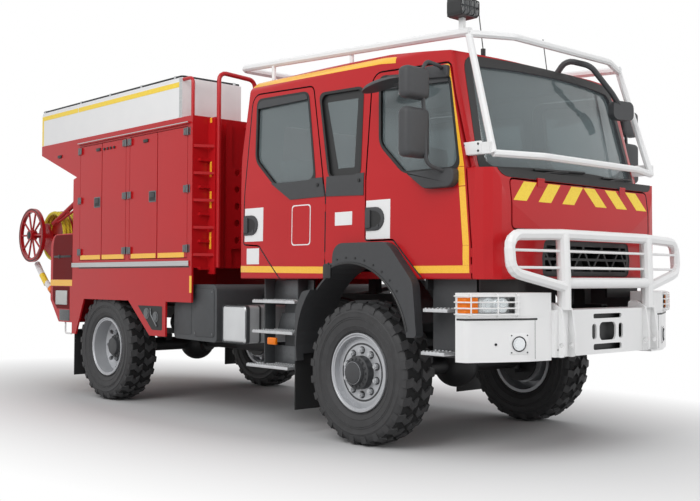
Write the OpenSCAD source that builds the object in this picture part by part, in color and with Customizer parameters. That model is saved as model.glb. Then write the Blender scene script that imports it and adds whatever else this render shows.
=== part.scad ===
// Forest fire truck: cab-over double cab, four driven wheels, locker body, roof coaming
// and a hose reel cart hung on the tail. X is forward, Y is to the driver's left, Z is up.
// Places along X are written from the front axle. All sizes are millimetres.

/* [Wheels] */
// Distance between the two axles
wheelbase = 3800; // [3700:10:3900]
// Radius of a tyre over its lugs
tyre_r = 545; // [535:1:555]
// Width of a tyre
tyre_w = 313; // [300:1:320]
// Distance between the two tyre centres of an axle
track = 1972; // [1960:2:1984]
// Outer radius of a rim's flange
rim_r = 296; // [292:1:300]
// Height of a tread lug
lug_h = 20; // [14:1:24]
// Lugs around each shoulder of a tyre
lug_count = 24; // [18:1:28]
// Radius of a wheel spindle
spindle_r = 45; // [40:1:50]
// Distance of a kingpin from the middle of the truck
kingpin_y = 770; // [760:1:775]
// Radius of a kingpin
kingpin_r = 25; // [20:1:28]

/* [Chassis] */
// Height of the rails' lower edge
rail_z = 830; // [820:1:840]
// Height of a rail's section
rail_h = 230; // [220:1:240]
// Outer face of a rail from the middle
rail_y = 460; // [450:1:470]
// Width of a rail's flange
rail_w = 80; // [70:1:90]
// Rear end of the rails behind the rear axle
rail_over = 1260; // [1200:10:1280]

/* [Cab] */
// Half the cab's width at its lower body
cab_half = 1090; // [1080:1:1100]
// How far the cab leans in from its belt to the roof's edge
cab_lean = 75; // [65:1:85]
// Height of the cab's lower edge
cab_z = 1250; // [1245:1:1260]
// Height of the cab's belt line
belt_z = 2000; // [1990:1:2010]
// Height of the roof's rear edge
roof_z = 3005; // [2990:1:3020]
// Rear wall behind the front axle
cab_rear = 1560; // [1545:1:1575]
// Front face ahead of the front axle
cab_front = 1295; // [1285:1:1305]
// Thickness of the cab's walls and doors
cab_wall = 56; // [48:1:64]
// Gap round a door or lid
door_gap = 13; // [11:1:15]
// Thickness of window glass
glass_t = 6; // [5:1:8]

/* [Body] */
// Half the locker body's width
body_half = 1170; // [1165:1:1180]
// Front face of the locker body ahead of the rear axle
body_ahead = 1634; // [1620:2:1650]
// Rear wall of the locker body behind the rear axle
body_behind = 663; // [640:1:680]
// Rear end of the overhang behind the rear axle
over_behind = 1435; // [1420:1:1450]
// Height of the body's floor
body_z = 1345; // [1340:1:1350]
// Height of the body's deck
deck_z = 2747; // [2740:1:2760]
// Height of the coaming's top edge
coaming_z = 3125; // [3100:1:3150]
// Depth of a locker
locker_d = 520; // [480:5:540]
// Thickness of a locker leaf
leaf_t = 28; // [24:1:32]
// Gap round a locker leaf
leaf_gap = 6; // [5:1:8]

/* [Front] */
// Diameter of the bull bar's main tube
bar_d = 76; // [70:1:80]
// Diameter of the windscreen guard's tubes
guard_d = 52; // [48:1:56]
// Half the bumper's width
bumper_half = 1262; // [1250:1:1270]
// Height of the bumper's lower edge
bumper_z = 700; // [690:1:710]

/* [Reel] */
// Radius of a reel cart's spoked wheel
cart_r = 315; // [300:1:325]
// Axis of the reel behind the rear axle
reel_behind = 1850; // [1840:2:1860]
// Height of the reel's axis
reel_z = 1750; // [1740:2:1760]
// Radius of the reel's axle
reel_axle_r = 30; // [25:1:35]

/* [Hidden] */
front_axle_x = 2230;
drawn_wheelbase = 3800;
rear_x = -wheelbase;
rail_rear = wheelbase + rail_over;
body_front = aft(drawn_wheelbase - body_ahead);
body_rear = wheelbase + body_behind;
over_rear = wheelbase + over_behind;
reel_x = wheelbase + reel_behind;
cab_roof_half = cab_half - cab_lean;
wheel_y = track / 2;
axle_z = tyre_r;
run_gap = 0.05;
seat_gap = 0.3;
rim_seat_r = rim_r - 10;
hub_r = 123;
arc_steps = 5;
red = "#C2262B";
dark_red = "#9E1B20";
white = "#F0F0EE";
dark = "#4A4A4C";
black = "#2B2B2D";
silver = "#C9CBCC";
glass_tint = [0.35, 0.42, 0.44, 0.6];

// Basic moves and outlines

module on_truck() translate([front_axle_x, 0, 0]) children();
module right() on_truck() children();
module left() on_truck() mirror([0, 1, 0]) children();
module both() {
    on_truck() children();
    on_truck() mirror([0, 1, 0]) children();
}

// Place between the axles, drawn for one wheelbase and moved along with it
function aft(x) = x * wheelbase / drawn_wheelbase;

// Outline in X and Z, drawn out along Y from y0 to y1
module side_prism(points, y0, y1) translate([0, y1, 0]) rotate([90, 0, 0])
    linear_extrude(y1 - y0) polygon(points);
// Outline in X and Y, drawn out along Z from z0 to z1
module plan_prism(points, z0, z1) translate([0, 0, z0]) linear_extrude(z1 - z0) polygon(points);
// Box between two corners
module span(a, b) translate(a) cube(b - a);
// Rod along Y
module rod_y(r, y0, y1, x, z) translate([x, y1, z]) rotate([90, 0, 0]) cylinder(r = r, h = y1 - y0, $fn = 32);

function unit(v) = v / norm(v);
function turn(a) = (a + 540) % 360 - 180;
function corner(p, q, s, r, n) =
    let (u = unit(p - q), w = unit(s - q), half = acos(u * w) / 2)
    let (c = q + unit(u + w) * r / sin(half), e0 = q + u * r / tan(half) - c, e1 = q + w * r / tan(half) - c)
    let (a0 = atan2(e0.y, e0.x), da = turn(atan2(e1.y, e1.x) - a0))
    [for (i = [0:n]) c + r * [cos(a0 + da * i / n), sin(a0 + da * i / n)]];
// Outline whose points are [x, y, corner radius]
function outline(pts, n = arc_steps) =
    let (m = len(pts))
    [for (i = [0:m - 1])
        let (q = pts[i], p = pts[(i + m - 1) % m], s = pts[(i + 1) % m])
        each q[2] == 0 ? [[q.x, q.y]] : corner([p.x, p.y], [q.x, q.y], [s.x, s.y], q[2], n)];
// Rectangle with round corners, centred
function pad(w, h, r, cx = 0, cy = 0) = outline([[cx - w / 2, cy - h / 2, r], [cx + w / 2, cy - h / 2, r],
    [cx + w / 2, cy + h / 2, r], [cx - w / 2, cy + h / 2, r]]);
function oval(cx, cy, a, b, t0, t1, n) = [for (i = [0:n])
    let (t = t0 + (t1 - t0) * i / n) [cx + a * cos(t), cy + b * sin(t)]];

// Round tube swept along points, with round bends of radius bend
function bends(p, bend, n) = [for (i = [0:len(p) - 1])
    each (i == 0 || i == len(p) - 1) ? [p[i]] : bend_points(p[i - 1], p[i], p[i + 1], bend, n)];
function bend_points(a, b, c, r, n) =
    let (u = unit(a - b), w = unit(c - b), half = acos(max(-1, min(1, u * w))) / 2)
    half > 88 ? [b] :
    let (d = r / tan(half), m = b + unit(u + w) * r / sin(half), e0 = b + u * d - m, e1 = b + w * d - m)
    let (sweep = 180 - 2 * half)
    [for (i = [0:n]) m + (e0 * sin(sweep * (1 - i / n)) + e1 * sin(sweep * i / n)) / sin(sweep)];
function across(d, ref) = unit(cross(d, ref));
module tube(path, d, bend = 100, sides = 8, steps = 4) {
    p = bends(path, bend, steps);
    m = len(p);
    dirs = [for (i = [0:m - 1])
        unit(p[min(i + 1, m - 1)] - p[max(i - 1, 0)])];
    first = path[1] - path[0];
    ref = unit(cross(first, path[len(path) - 1] - path[0]) + [0.001, 0.0013, 0.0007] * norm(first));
    rings = [for (i = [0:m - 1])
        let (u = across(dirs[i], ref), v = cross(dirs[i], u))
        for (k = [0:sides - 1])
            let (a = 360 * (k + 0.5) / sides)
            p[i] + (u * cos(a) + v * sin(a)) * d / 2];
    walls = [for (i = [0:m - 2]) for (k = [0:sides - 1])
        let (a = i * sides + k, b = i * sides + (k + 1) % sides)
        [a, b, b + sides, a + sides]];
    polyhedron(rings, concat([for (w = walls) [w[3], w[2], w[1], w[0]]],
        [[for (k = [0:sides - 1]) k], [for (k = [sides - 1:-1:0]) (m - 1) * sides + k]]), convexity = 6);
}

// Chassis

cross_members = [1040, -1250, aft(-2500), rear_x + 600, rear_x - 600, 80 - rail_rear];
spring_half = 700;
spring_w = 76;
spring_t = 60;
spring_y = rail_y - rail_w / 2;
spring_seat = 110;
hanger_z = rail_z - 30;
post_x = [950, -1400];

module chassis_frame() color(black) {
    both() difference() {
        span([-rail_rear, rail_y - rail_w, rail_z], [1150, rail_y, rail_z + rail_h]);
        span([-rail_rear - 1, rail_y - rail_w - 1, rail_z + 12], [1151, rail_y - 10, rail_z + rail_h - 12]);
    }
    on_truck() for (x = cross_members)
        rod_y(55, -rail_y + 10, rail_y - 10, x, rail_z + rail_h / 2);
    both() for (a = [0, rear_x], s = [-1, 1])
        span([a + s * spring_half - 60, spring_y - spring_w / 2, hanger_z],
            [a + s * spring_half + 60, spring_y + spring_w / 2, rail_z]);
    both() for (x = post_x)
        span([x - 50, rail_y - rail_w, rail_z + rail_h], [x + 50, rail_y, cab_z]);
    on_truck() tow_jaw();
}

// Rear tow jaw with its vertical pin hole
jaw_r = 26;
module tow_jaw() difference() {
    union() {
        span([-rail_rear - 20, -rail_y + 9, rail_z + 40], [-rail_rear + 20, rail_y - 9, rail_z + rail_h - 40]);
        span([-rail_rear - 190, -70, rail_z + 60], [-rail_rear - 10, 70, rail_z + 160]);
    }
    translate([-rail_rear - 120, 0, rail_z]) cylinder(r = jaw_r, h = rail_h, $fn = 48);
    span([-rail_rear - 200, -80, rail_z + 90], [-rail_rear - 70, 80, rail_z + 130]);
}

engine_half = 330;
engine_rear = -420;
module engine_block() color(dark) on_truck()
union() {
    span([engine_rear, -engine_half, 770], [760, engine_half, cab_z - 15]);
    span([250, -rail_y + 10 + seat_gap, 880], [350, rail_y - 10 - seat_gap, 960]);
}

shaft_r = 50;
shaft_z = axle_z + 15;
nose_l = 240;
transfer = [-2150, -1500];
bracket = [-1900, -1800];
// Gearbox behind the engine, transfer box on its cross bracket, and the shafts to both axles
module driveline() color(black) on_truck() {
    span([-1150, -230, 780], [engine_rear - seat_gap, 230, 1120]);
    span([transfer[0], -300, 480], [transfer[1], 250, 800]);
    span([bracket[0], -rail_y + 10 + seat_gap, 860], [bracket[1], rail_y - 10 - seat_gap, 960]);
    span([bracket[0], -200, 790], [bracket[1], 200, 870]);
    translate([transfer[1] - 10, 0, 770]) rotate([0, 90, 0]) cylinder(r = shaft_r, h = 380, $fn = 32);
    translate([rear_x + nose_l + seat_gap, 0, shaft_z]) rotate([0, 90, 0])
        cylinder(r = shaft_r, h = transfer[0] + 1 - rear_x - nose_l, $fn = 32);
    translate([transfer[1] - 1, 0, shaft_z]) rotate([0, 90, 0])
        cylinder(r = shaft_r, h = -nose_l - seat_gap - transfer[1] + 1, $fn = 32);
}

// Driven axle: housing tube, differential bowl and spring seats
housing_r = 70;
bowl_r = 185;
module axle_beam(end_y, nose) {
    rod_y(housing_r, -end_y, end_y, 0, axle_z);
    translate([0, 0, axle_z]) sphere(r = bowl_r, $fn = 48);
    translate([min(0, nose * nose_l), 0, axle_z]) rotate([0, 90, 0]) cylinder(r = 80, h = nose_l, $fn = 32);
    for (s = [-1, 1])
        span([-90, s * spring_y - spring_w / 2, axle_z + housing_r - 30],
            [90, s * spring_y + spring_w / 2, axle_z + spring_seat]);
}

kingpin_boss = 50;
fork_z = 80;
module front_axle() color(black) on_truck() difference() {
    union() {
        axle_beam(kingpin_y - 20, -1);
        for (s = [-1, 1])
            translate([0, s * kingpin_y, axle_z - fork_z + 2])
                cylinder(r = kingpin_boss, h = 2 * fork_z - 4, $fn = 48);
    }
    for (s = [-1, 1])
        translate([0, s * kingpin_y, axle_z - 200]) cylinder(r = kingpin_r + run_gap, h = 400, $fn = 48);
}

plate_y = wheel_y - 156;
brake_plate_r = 190;
module rear_axle() color(black) on_truck() translate([rear_x, 0, 0]) {
    axle_beam(plate_y, 1);
    for (s = [0, 1]) mirror([0, s, 0]) {
        rod_y(brake_plate_r, plate_y - 14, plate_y, 0, axle_z);
        rod_y(spindle_r, plate_y - 5, wheel_y + 20, 0, axle_z);
    }
}

// Leaf spring: bowed pack with flat pads at its ends and its middle
function spring_line(t) = spring_seat + (t * t) * (hanger_z - spring_t - axle_z - spring_seat);
module leaf_springs() color(black) for (a = [0, rear_x]) both() translate([a, 0, axle_z]) {
    low = [for (i = [-6:6]) [i / 6 * (spring_half - 60), spring_line(i / 6)]];
    high = [for (i = [6:-1:-6]) [i / 6 * (spring_half - 60), spring_line(i / 6) + spring_t]];
    end = spring_line(1);
    side_prism(concat(low, [[spring_half + 60, end], [spring_half + 60, end + spring_t]], high,
        [[-spring_half - 60, end + spring_t], [-spring_half - 60, end]]),
        spring_y - spring_w / 2, spring_y + spring_w / 2);
}

// Steering knuckle on the truck's right: fork, kingpin, brake plate and spindle
module knuckle() translate([0, 0, axle_z]) {
    translate([0, -kingpin_y, -fork_z - 30]) cylinder(r = kingpin_r, h = 2 * fork_z + 60, $fn = 48);
    for (z = [-fork_z - 30, fork_z])
        span([-45, -plate_y - 1, z], [45, -kingpin_y + 45, z + 30]);
    rod_y(brake_plate_r, -plate_y - 12, -plate_y, 0, 0);
    rod_y(spindle_r, -wheel_y - 110, -plate_y, 0, 0);
}
module knuckle_r() color(black) right() knuckle();
module knuckle_l() color(black) left() knuckle();

// Wheel on the truck's right, centred on its tyre, outer face towards minus Y
flange_out = 124;
flange_in = -118;
bead_h = 106;
drum_r = 205;
module spun(points) rotate([90, 0, 0]) rotate_extrude($fn = 64) polygon(points);
rim_ring = [[rim_r - 26, flange_in], [rim_r, flange_in], [rim_r, -bead_h], [rim_seat_r, -bead_h],
    [rim_seat_r, bead_h], [rim_r, bead_h], [rim_r, flange_out], [rim_r - 26, flange_out]];
module front_wheel() difference() {
    union() {
        spun(rim_ring);
        spun([[0, 68], [rim_r - 25, 60], [rim_r - 25, 76], [232, 84], [0, 84]]);
        spun([[0, -60], [hub_r, -60], [hub_r, 142], [90, 150], [84, 186], [0, 190]]);
        spun([[150, -100], [drum_r, -100], [drum_r, 72], [150, 72]]);
    }
    rod_y(spindle_r + run_gap, -118, 200, 0, 0);
}
module rear_wheel() difference() {
    union() {
        spun(rim_ring);
        spun([[0, -70], [200, -70], [rim_r - 25, -30], [rim_r - 25, -12], [205, -50], [0, -50]]);
        spun([[0, -140], [115, -140], [115, 20], [90, 28], [83, 60], [0, 62]]);
        spun([[150, -146], [drum_r, -146], [drum_r, -65], [150, -65]]);
    }
    rod_y(spindle_r + run_gap, -26, 200, 0, 0);
    for (i = [0:9])
        rotate([0, 36 * i, 0]) rod_y(24, -100, 120, 234, 0);
}

// Tyre: casing of revolution with two staggered rows of shoulder lugs
casing_r = tyre_r - lug_h;
tread_half = tyre_w / 2 - 14;
function ring_point(r, a) = [r * cos(a), r * sin(a)];
module lug_row(turned, h0, h1) translate([0, 0, h0]) linear_extrude(h1 - h0) difference() {
    polygon([for (i = [0:lug_count - 1])
        let (a = 360 / lug_count * i + turned, p = 360 / lug_count)
        each [ring_point(casing_r - 14, a), ring_point(tyre_r, a + 0.06 * p),
            ring_point(tyre_r, a + 0.5 * p), ring_point(casing_r - 14, a + 0.56 * p)]]);
    circle(r = casing_r - 40, $fn = 72);
}
casing_half = [[rim_seat_r + seat_gap, 0], [rim_seat_r + seat_gap, bead_h - seat_gap],
    [rim_r + seat_gap, bead_h - seat_gap], [rim_r + 6, bead_h + 8],
    [rim_r + 50, tyre_w / 2 - 14], [casing_r - 100, tyre_w / 2], [casing_r - 44, tyre_w / 2 - 4],
    [casing_r - 12, tread_half], [casing_r, tread_half - 24], [casing_r, 0]];
module tyre() rotate([90, 0, 0]) {
    rotate_extrude($fn = 72) polygon(concat(casing_half,
        [for (i = [len(casing_half) - 2:-1:1]) [casing_half[i].x, -casing_half[i].y]]));
    lug_row(0, 12, tread_half);
    lug_row(180 / lug_count, -tread_half, -12);
}
module wheel_at(x) translate([x, -wheel_y, axle_z]) children();
module wheel_fr() color(silver) right() wheel_at(0) front_wheel();
module wheel_fl() color(silver) left() wheel_at(0) front_wheel();
module wheel_rr() color(silver) right() wheel_at(rear_x) rear_wheel();
module wheel_rl() color(silver) left() wheel_at(rear_x) rear_wheel();
module tyre_fr() color(black) right() wheel_at(0) tyre();
module tyre_fl() color(black) left() wheel_at(0) tyre();
module tyre_rr() color(black) right() wheel_at(rear_x) tyre();
module tyre_rl() color(black) left() wheel_at(rear_x) tyre();

// Cab: its form is where a side profile, a section, a plan and the raked windscreen's sweep meet

screen_low = [1178, 2010];
screen_top = [985, 2790];
rake = atan2(screen_low.x - screen_top.x, screen_top.y - screen_low.y);
screen_bow = 4500;
tall = 2600;
cab_profile = outline([[-cab_rear, cab_z, 30], [cab_front - 15, cab_z, 40], [cab_front, 1525, 300],
    [cab_front - 50, 1940, 60], [cab_front - 75, screen_low.y, 0], [screen_low.x + 20, screen_low.y, 0],
    [screen_top.x + 4, screen_top.y + 60, 90], [200, roof_z - 58, 900], [-cab_rear + 75, roof_z, 60],
    [-cab_rear, belt_z + 200, 300]]);
cab_section = outline([[-cab_half + 6, cab_z - 5, 20], [cab_half - 6, cab_z - 5, 20],
    [cab_half, 1400, 400], [cab_half - 8, belt_z, 500], [cab_roof_half, 2900, 60],
    [cab_roof_half - 90, roof_z - 25, 100],
    [0, roof_z + 20, 2000], [-cab_roof_half + 90, roof_z - 25, 100], [-cab_roof_half, 2900, 60],
    [-cab_half + 8, belt_z, 500], [-cab_half, 1400, 400]]);
cab_plan = outline([[-cab_rear, -cab_half - 5, 70], [cab_front - 45, -cab_half - 5, 215], [cab_front, -420, 900],
    [cab_front, 420, 900], [cab_front - 45, cab_half + 5, 215], [-cab_rear, cab_half + 5, 70]]);
// Plan of the upper cab in the raked frame of the glass, bowed at the windscreen
screen_plan = concat([for (i = [-8:8]) let (y = i * 125) [-y * y / (2 * screen_bow), y]],
    [[-150, cab_half + 20], [-2 * cab_rear - 400, cab_half + 20],
    [-2 * cab_rear - 400, -cab_half - 20], [-150, -cab_half - 20]]);
module raked() translate([screen_low.x, 0, screen_low.y]) rotate([0, -rake, 0]) children();
module inset(points, d) offset(delta = -d) polygon(points);
module cab_walls(d) intersection() {
    translate([0, tall, 0]) rotate([90, 0, 0]) linear_extrude(2 * tall) inset(cab_profile, d);
    translate([-tall, 0, 0]) rotate([90, 0, 90]) linear_extrude(2 * tall) inset(cab_section, d);
    translate([0, 0, cab_z - 100]) linear_extrude(tall) inset(cab_plan, d);
}
module cab_form(d) {
    intersection() {
        cab_walls(d);
        span([-tall, -tall, 0], [tall, tall, screen_low.y]);
    }
    intersection() {
        cab_walls(d);
        raked() translate([0, 0, -tall]) linear_extrude(2 * tall) inset(screen_plan, d);
        span([-tall, -tall, screen_low.y - 1], [tall, tall, 2 * tall]);
    }
}
module cab_shell() difference() {
    cab_form(0);
    cab_form(cab_wall);
}

// Side openings: doors and windows as outlines in X and Z
hinge_front_x = 1085;
hinge_rear_x = -420;
door_front_rear_x = 52;
flare_top = 1523;
door_rear_end = -1478;
door_top = 2812;
door_front = outline([[hinge_front_x, cab_z - 20, 0], [hinge_front_x, 1480, 40], [hinge_front_x - 50, 2022, 60],
    [845, door_top - 37, 50], [door_front_rear_x + 12, door_top, 90], [door_front_rear_x, 2030, 0],
    [door_front_rear_x, flare_top + 22, 20], [345, flare_top + 22, 60], [625, cab_z + 20, 60], [650, cab_z - 20, 0]]);
door_rear = outline([[-460, cab_z - 20, 0], [hinge_rear_x, 1310, 0], [hinge_rear_x, 1900, 60],
    [-640, door_top, 60], [-1440, door_top + 33, 90], [door_rear_end, 1850, 0], [door_rear_end, 1548, 20],
    [-1265, 1534, 60], [-960, cab_z - 20, 0]]);
pane_front = outline([[965, 2029, 60], [832, 2690, 60], [152, 2765, 60], [190, 2265, 120], [452, 2034, 60]]);
pane_rear = outline([[-557, 2046, 60], [-708, 2765, 60], [-1365, 2785, 60], [-1335, 2272, 120], [-1060, 2047, 60]]);
pane_mid = outline([[-33, 2046, 50], [-50, 2713, 50], [-535, 2727, 50], [-367, 2058, 50]]);
module grown(points, d) offset(delta = d) polygon(points);
module through_right(y0, y1) translate([0, -y0, 0]) rotate([90, 0, 0]) linear_extrude(y1 - y0) children();
side_in = cab_half - 145;
side_out = cab_half + 40;
sill_z = cab_z + cab_wall + 20;
// Space of a door: the whole wall above the sill, only its own thickness beside the floor
module door_space(points, d) {
    through_right(side_in, side_out) intersection() {
        grown(points, d);
        translate([-tall, sill_z]) square(2 * tall);
    }
    through_right(cab_half - cab_wall - d, side_out) grown(points, d);
}
module side_holes() {
    door_space(door_front, door_gap);
    door_space(door_rear, door_gap);
    through_right(side_in, side_out) polygon(pane_mid);
}
// Wheel arch in the cab's side, over the front wheel
arch_c = [-55, 720];
arch_a = 620;
arch_b = 642;
liner_t = 14;
liner_in = wheel_y - 196;
module arch_hole(extra, y0, y1) through_right(y0, y1)
    polygon(oval(arch_c.x, arch_c.y, arch_a + extra, arch_b + extra, 0, 360, 40));
lid_top = 1935;
lid_low = 1600;
lid_half = cab_half - 228;
lid_outline = pad(2 * lid_half, lid_top - lid_low, 30, 0, (lid_top + lid_low) / 2);
grille_outline = outline([[-545, 1270, 40], [545, 1270, 40], [560, 1400, 60], [531, 1528, 40],
    [-531, 1528, 40], [-560, 1400, 60]]);
screen_half = [cab_half - 165, cab_roof_half - 147];
screen_outline = outline([[-screen_half[0], 45, 90], [screen_half[0], 45, 90],
    [screen_half[1], 800, 90], [-screen_half[1], 800, 90]]);
rear_pane = pad(1300, 420, 60, 0, 2420);

module cab_body() color(red) on_truck() difference() {
    cab_shell();
    for (s = [0, 1]) mirror([0, s, 0]) {
        side_holes();
        arch_hole(liner_t + seat_gap, liner_in - 20, side_out);
    }
    translate([1140, 0, 0]) rotate([90, 0, 90]) linear_extrude(300) grown(lid_outline, door_gap);
    translate([1140, 0, 0]) rotate([90, 0, 90]) linear_extrude(300) polygon(grille_outline);
    raked() translate([-250, 0, 0]) rotate([90, 0, 90]) linear_extrude(400) polygon(screen_outline);
    translate([-cab_rear - 50, 0, 0]) rotate([90, 0, 90]) linear_extrude(200) polygon(rear_pane);
}

// Fixed glass: windscreen, side panes between the doors, rear pane
module pane(points, low, high) intersection() {
    difference() {
        cab_form(low);
        cab_form(high);
    }
    through_right(side_in, side_out) offset(delta = -seat_gap) polygon(points);
}
pane_in = 20;
module cab_glass() color(glass_tint) on_truck() {
    for (s = [0, 1]) mirror([0, s, 0]) pane(pane_mid, pane_in, pane_in + glass_t);
    intersection() {
        difference() {
            cab_form(pane_in);
            cab_form(pane_in + glass_t);
        }
        raked() translate([-250, 0, 0]) rotate([90, 0, 90]) linear_extrude(400)
            offset(delta = -seat_gap) polygon(screen_outline);
    }
    translate([-cab_rear + pane_in, 0, 0]) rotate([90, 0, 90]) linear_extrude(glass_t)
        offset(delta = -seat_gap) polygon(rear_pane);
}

// Front lid, hinged along its upper edge
lid_axis = [1248.2, 1955.8];
lid_hinge_r = 8;
lid_hinge_y = [-560, 480];
lid_hinge_l = 80;
module front_lid() color(red) on_truck() {
    intersection() {
        cab_shell();
        translate([1140, 0, 0]) rotate([90, 0, 90]) linear_extrude(300) polygon(lid_outline);
    }
    for (y = lid_hinge_y) {
        rod_y(lid_hinge_r, y, y + lid_hinge_l, lid_axis.x, lid_axis.y);
        span([lid_axis.x - 3, y, lid_top - 35], [lid_axis.x + 5, y + lid_hinge_l, lid_axis.y]);
    }
}

// Grille: frame, slats and slanted braces
slat_z = [1330, 1395, 1460];
module grille() color(dark) on_truck() intersection() {
    difference() {
        cab_form(6);
        cab_form(cab_wall);
    }
    translate([1140, 0, 0]) rotate([90, 0, 90]) linear_extrude(300) difference() {
        offset(delta = -seat_gap) polygon(grille_outline);
        difference() {
            inset(grille_outline, 38);
            for (z = slat_z)
                translate([-600, z - 9]) square([1200, 18]);
            for (i = [-4:4])
                translate([i * 120, 1395]) rotate(i % 2 == 0 ? 35 : -35) square([16, 320], center = true);
        }
    }
}

// Doors and their glass, on the truck's right
door_axis_y = cab_half - 6;
door_hinge_r = 6;
door_hinge_l = 60;
front_hinge_z = [1290, 1400];
rear_hinge_z = [1400, 1780];
module door(points, window, hinge_x, heights) {
    difference() {
        intersection() {
            cab_shell();
            door_space(points, 0);
        }
        through_right(side_in, side_out) polygon(window);
    }
    for (z = heights) {
        translate([hinge_x + door_gap / 2, -door_axis_y, z])
            cylinder(r = door_hinge_r, h = door_hinge_l, $fn = 32);
        span([hinge_x - 10, -door_axis_y - 3, z], [hinge_x + door_gap / 2, -door_axis_y + 3, z + door_hinge_l]);
    }
}
module front_door() door(door_front, pane_front, hinge_front_x, front_hinge_z);
module rear_door() door(door_rear, pane_rear, hinge_rear_x, rear_hinge_z);
module door_fr() color(red) right() front_door();
module door_fl() color(red) left() front_door();
module door_rr() color(red) right() rear_door();
module door_rl() color(red) left() rear_door();
module glass_fr() color(glass_tint) right() pane(pane_front, pane_in, pane_in + glass_t);
module glass_fl() color(glass_tint) left() pane(pane_front, pane_in, pane_in + glass_t);
module glass_rr() color(glass_tint) right() pane(pane_rear, pane_in, pane_in + glass_t);
module glass_rl() color(glass_tint) left() pane(pane_rear, pane_in, pane_in + glass_t);

// Mirror set on a front door: base, bent arm, two heads
mirror_y = cab_half + 240;
// Heads: lower edge, upper edge, width
mirror_heads = [[2080, 2440, 250], [2480, 2720, 250]];
arm_y = mirror_y - 60;
module mirror_set() difference() {
    union() {
        span([780, -cab_half - 62, 1900], [960, -cab_half + 40, 2010]);
        tube([[900, -cab_half - 40, 1990], [880, -arm_y, 2040], [850, -arm_y, 2690],
            [850, -cab_half - 10, 2745], [780, -cab_half + 90, 2735]], 32, 40);
        for (m = mirror_heads)
            translate([745, -mirror_y, (m[0] + m[1]) / 2]) rotate([90, 0, 90]) linear_extrude(130)
                polygon(pad(m[2], m[1] - m[0], 45));
    }
    cab_form(-seat_gap);
}
module mirror_r() color(dark) right() mirror_set();
module mirror_l() color(dark) left() mirror_set();

// Dark plastic on the cab: wheel flares with their liners, lower corners, front mirror on its arm
flare_y = cab_half + 75;
flare_outline = outline([[-690, 592, 0], [-685, 1020, 140], [-600, 1150, 50], [-440, 1172, 40], [-350, 1260, 30],
    [-345, 1365, 15], [-243, 1372, 0], [-240, flare_top, 110], [350, flare_top, 170], [612, 1230, 130],
    [650, 835, 30], [520, 835, 0]]);
corner_y = cab_half - 90;
module flare() difference() {
    union() {
        through_right(cab_half + seat_gap, flare_y) polygon(flare_outline);
        through_right(liner_in, cab_half + 1) difference() {
            polygon(oval(arch_c.x, arch_c.y, arch_a + liner_t, arch_b + liner_t, 0, 360, 40));
            translate([-2000, -1000]) square([2000 + arch_c.x, 1650]);
            translate([arch_c.x - 1, -1000]) square([2000, 1930]);
        }
    }
    arch_hole(0, 0, flare_y + 10);
    through_right(0, flare_y + 10) translate([-600, 0]) square([1000, arch_c.y]);
}
module cab_trim() color(dark) {
    both() flare();
    both() span([662, -corner_y, 700], [1085, -corner_y + 15, cab_z]);
    on_truck() difference() {
        union() {
            tube([[860, 180, 2830], [960, 200, 2960], [1130, 280, 2900], [1140, 560, 2720], [1120, 700, 2640]], 46, 90);
            translate([1120, 720, 2600]) rotate([90, 0, 80]) linear_extrude(60, center = true)
                polygon(pad(230, 150, 50));
        }
        cab_form(-seat_gap);
    }
}

// Seats, seen through the glass: two in front and a bench behind
seat_h = 340;
seat_d = 480;
back_lean = 5;
bench_w = 2 * cab_half - 480;
front_seat_y = cab_half - 565;
front_seat_w = cab_half - 600;
module seat(x, y, w) translate([x - seat_d / 2, y - w / 2, cab_z + cab_wall]) {
    cube([seat_d, w, seat_h]);
    translate([0, 20, seat_h + seat_gap]) rotate([0, -back_lean, 0]) cube([130, w - 40, 640]);
}
module seats() color("#3A3F45") on_truck() {
    for (s = [-1, 1]) seat(365, s * front_seat_y, front_seat_w);
    seat(-1050, 0, bench_w);
}

// Dashboard with the steering column and wheel on the left
dash_half = cab_half - 130;
wheel_place = [760, cab_half - 530, 1840];
module dashboard() color(black) on_truck() {
    span([820, -dash_half, 1640], [1080, dash_half, 1880]);
    span([880, -240, cab_z + cab_wall], [1080, 240, 1650]);
    translate(wheel_place) rotate([0, -60, 0]) {
        translate([0, 0, -100]) cylinder(r = 28, h = 170, $fn = 32);
        translate([0, 0, 70]) rotate_extrude($fn = 48) translate([210, 0]) circle(r = 16, $fn = 16);
        translate([-215, -18, 60]) cube([430, 36, 20]);
    }
}

// Front end

bumper_top = 1040;
bumper_x = 1450;
end_top = 978;
lamp_low = 992;
lamp_high = 1160;
bumper_t = 14;
gusset_y = 534;
tow_r = 18;
tow_place = [1478, 800];
end_plan = outline([[1100, -bumper_half, 0], [1190, -bumper_half, 50], [1385, -860, 120], [1420, -640, 0],
    [1240, -640, 0], [1100, -bumper_half + 132, 0]]);
lamp_zone = [[1120, -bumper_half + 27], [1500, -bumper_half + 27], [1500, -700], [1330, -700],
    [1140, -bumper_half + 132]];
lens_back = 60;
lens_h = 110;
module lamp_band(front, back) intersection() {
    difference() {
        offset(delta = -front) polygon(end_plan);
        inset(end_plan, back);
    }
    polygon(lamp_zone);
}
module lamp_lens() translate([0, 0, lamp_low + 30]) linear_extrude(lens_h)
    offset(delta = -seat_gap) lamp_band(20, lens_back);
module lamp_pocket() translate([0, 0, lamp_low + 30 - seat_gap]) linear_extrude(lens_h + 2 * seat_gap)
    lamp_band(-10, lens_back);
module headlamps() color("#E8EEF0") both() lamp_lens();
gusset_outline = outline([[1330, 730, 20], [1503, 715, 30], [1505, 860, 60], [1475, 1050, 40],
    [1400, 1090, 30], [1330, 1090, 20]]);
module gusset() side_prism(gusset_outline, -gusset_y - 70, -gusset_y - 50);
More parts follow.
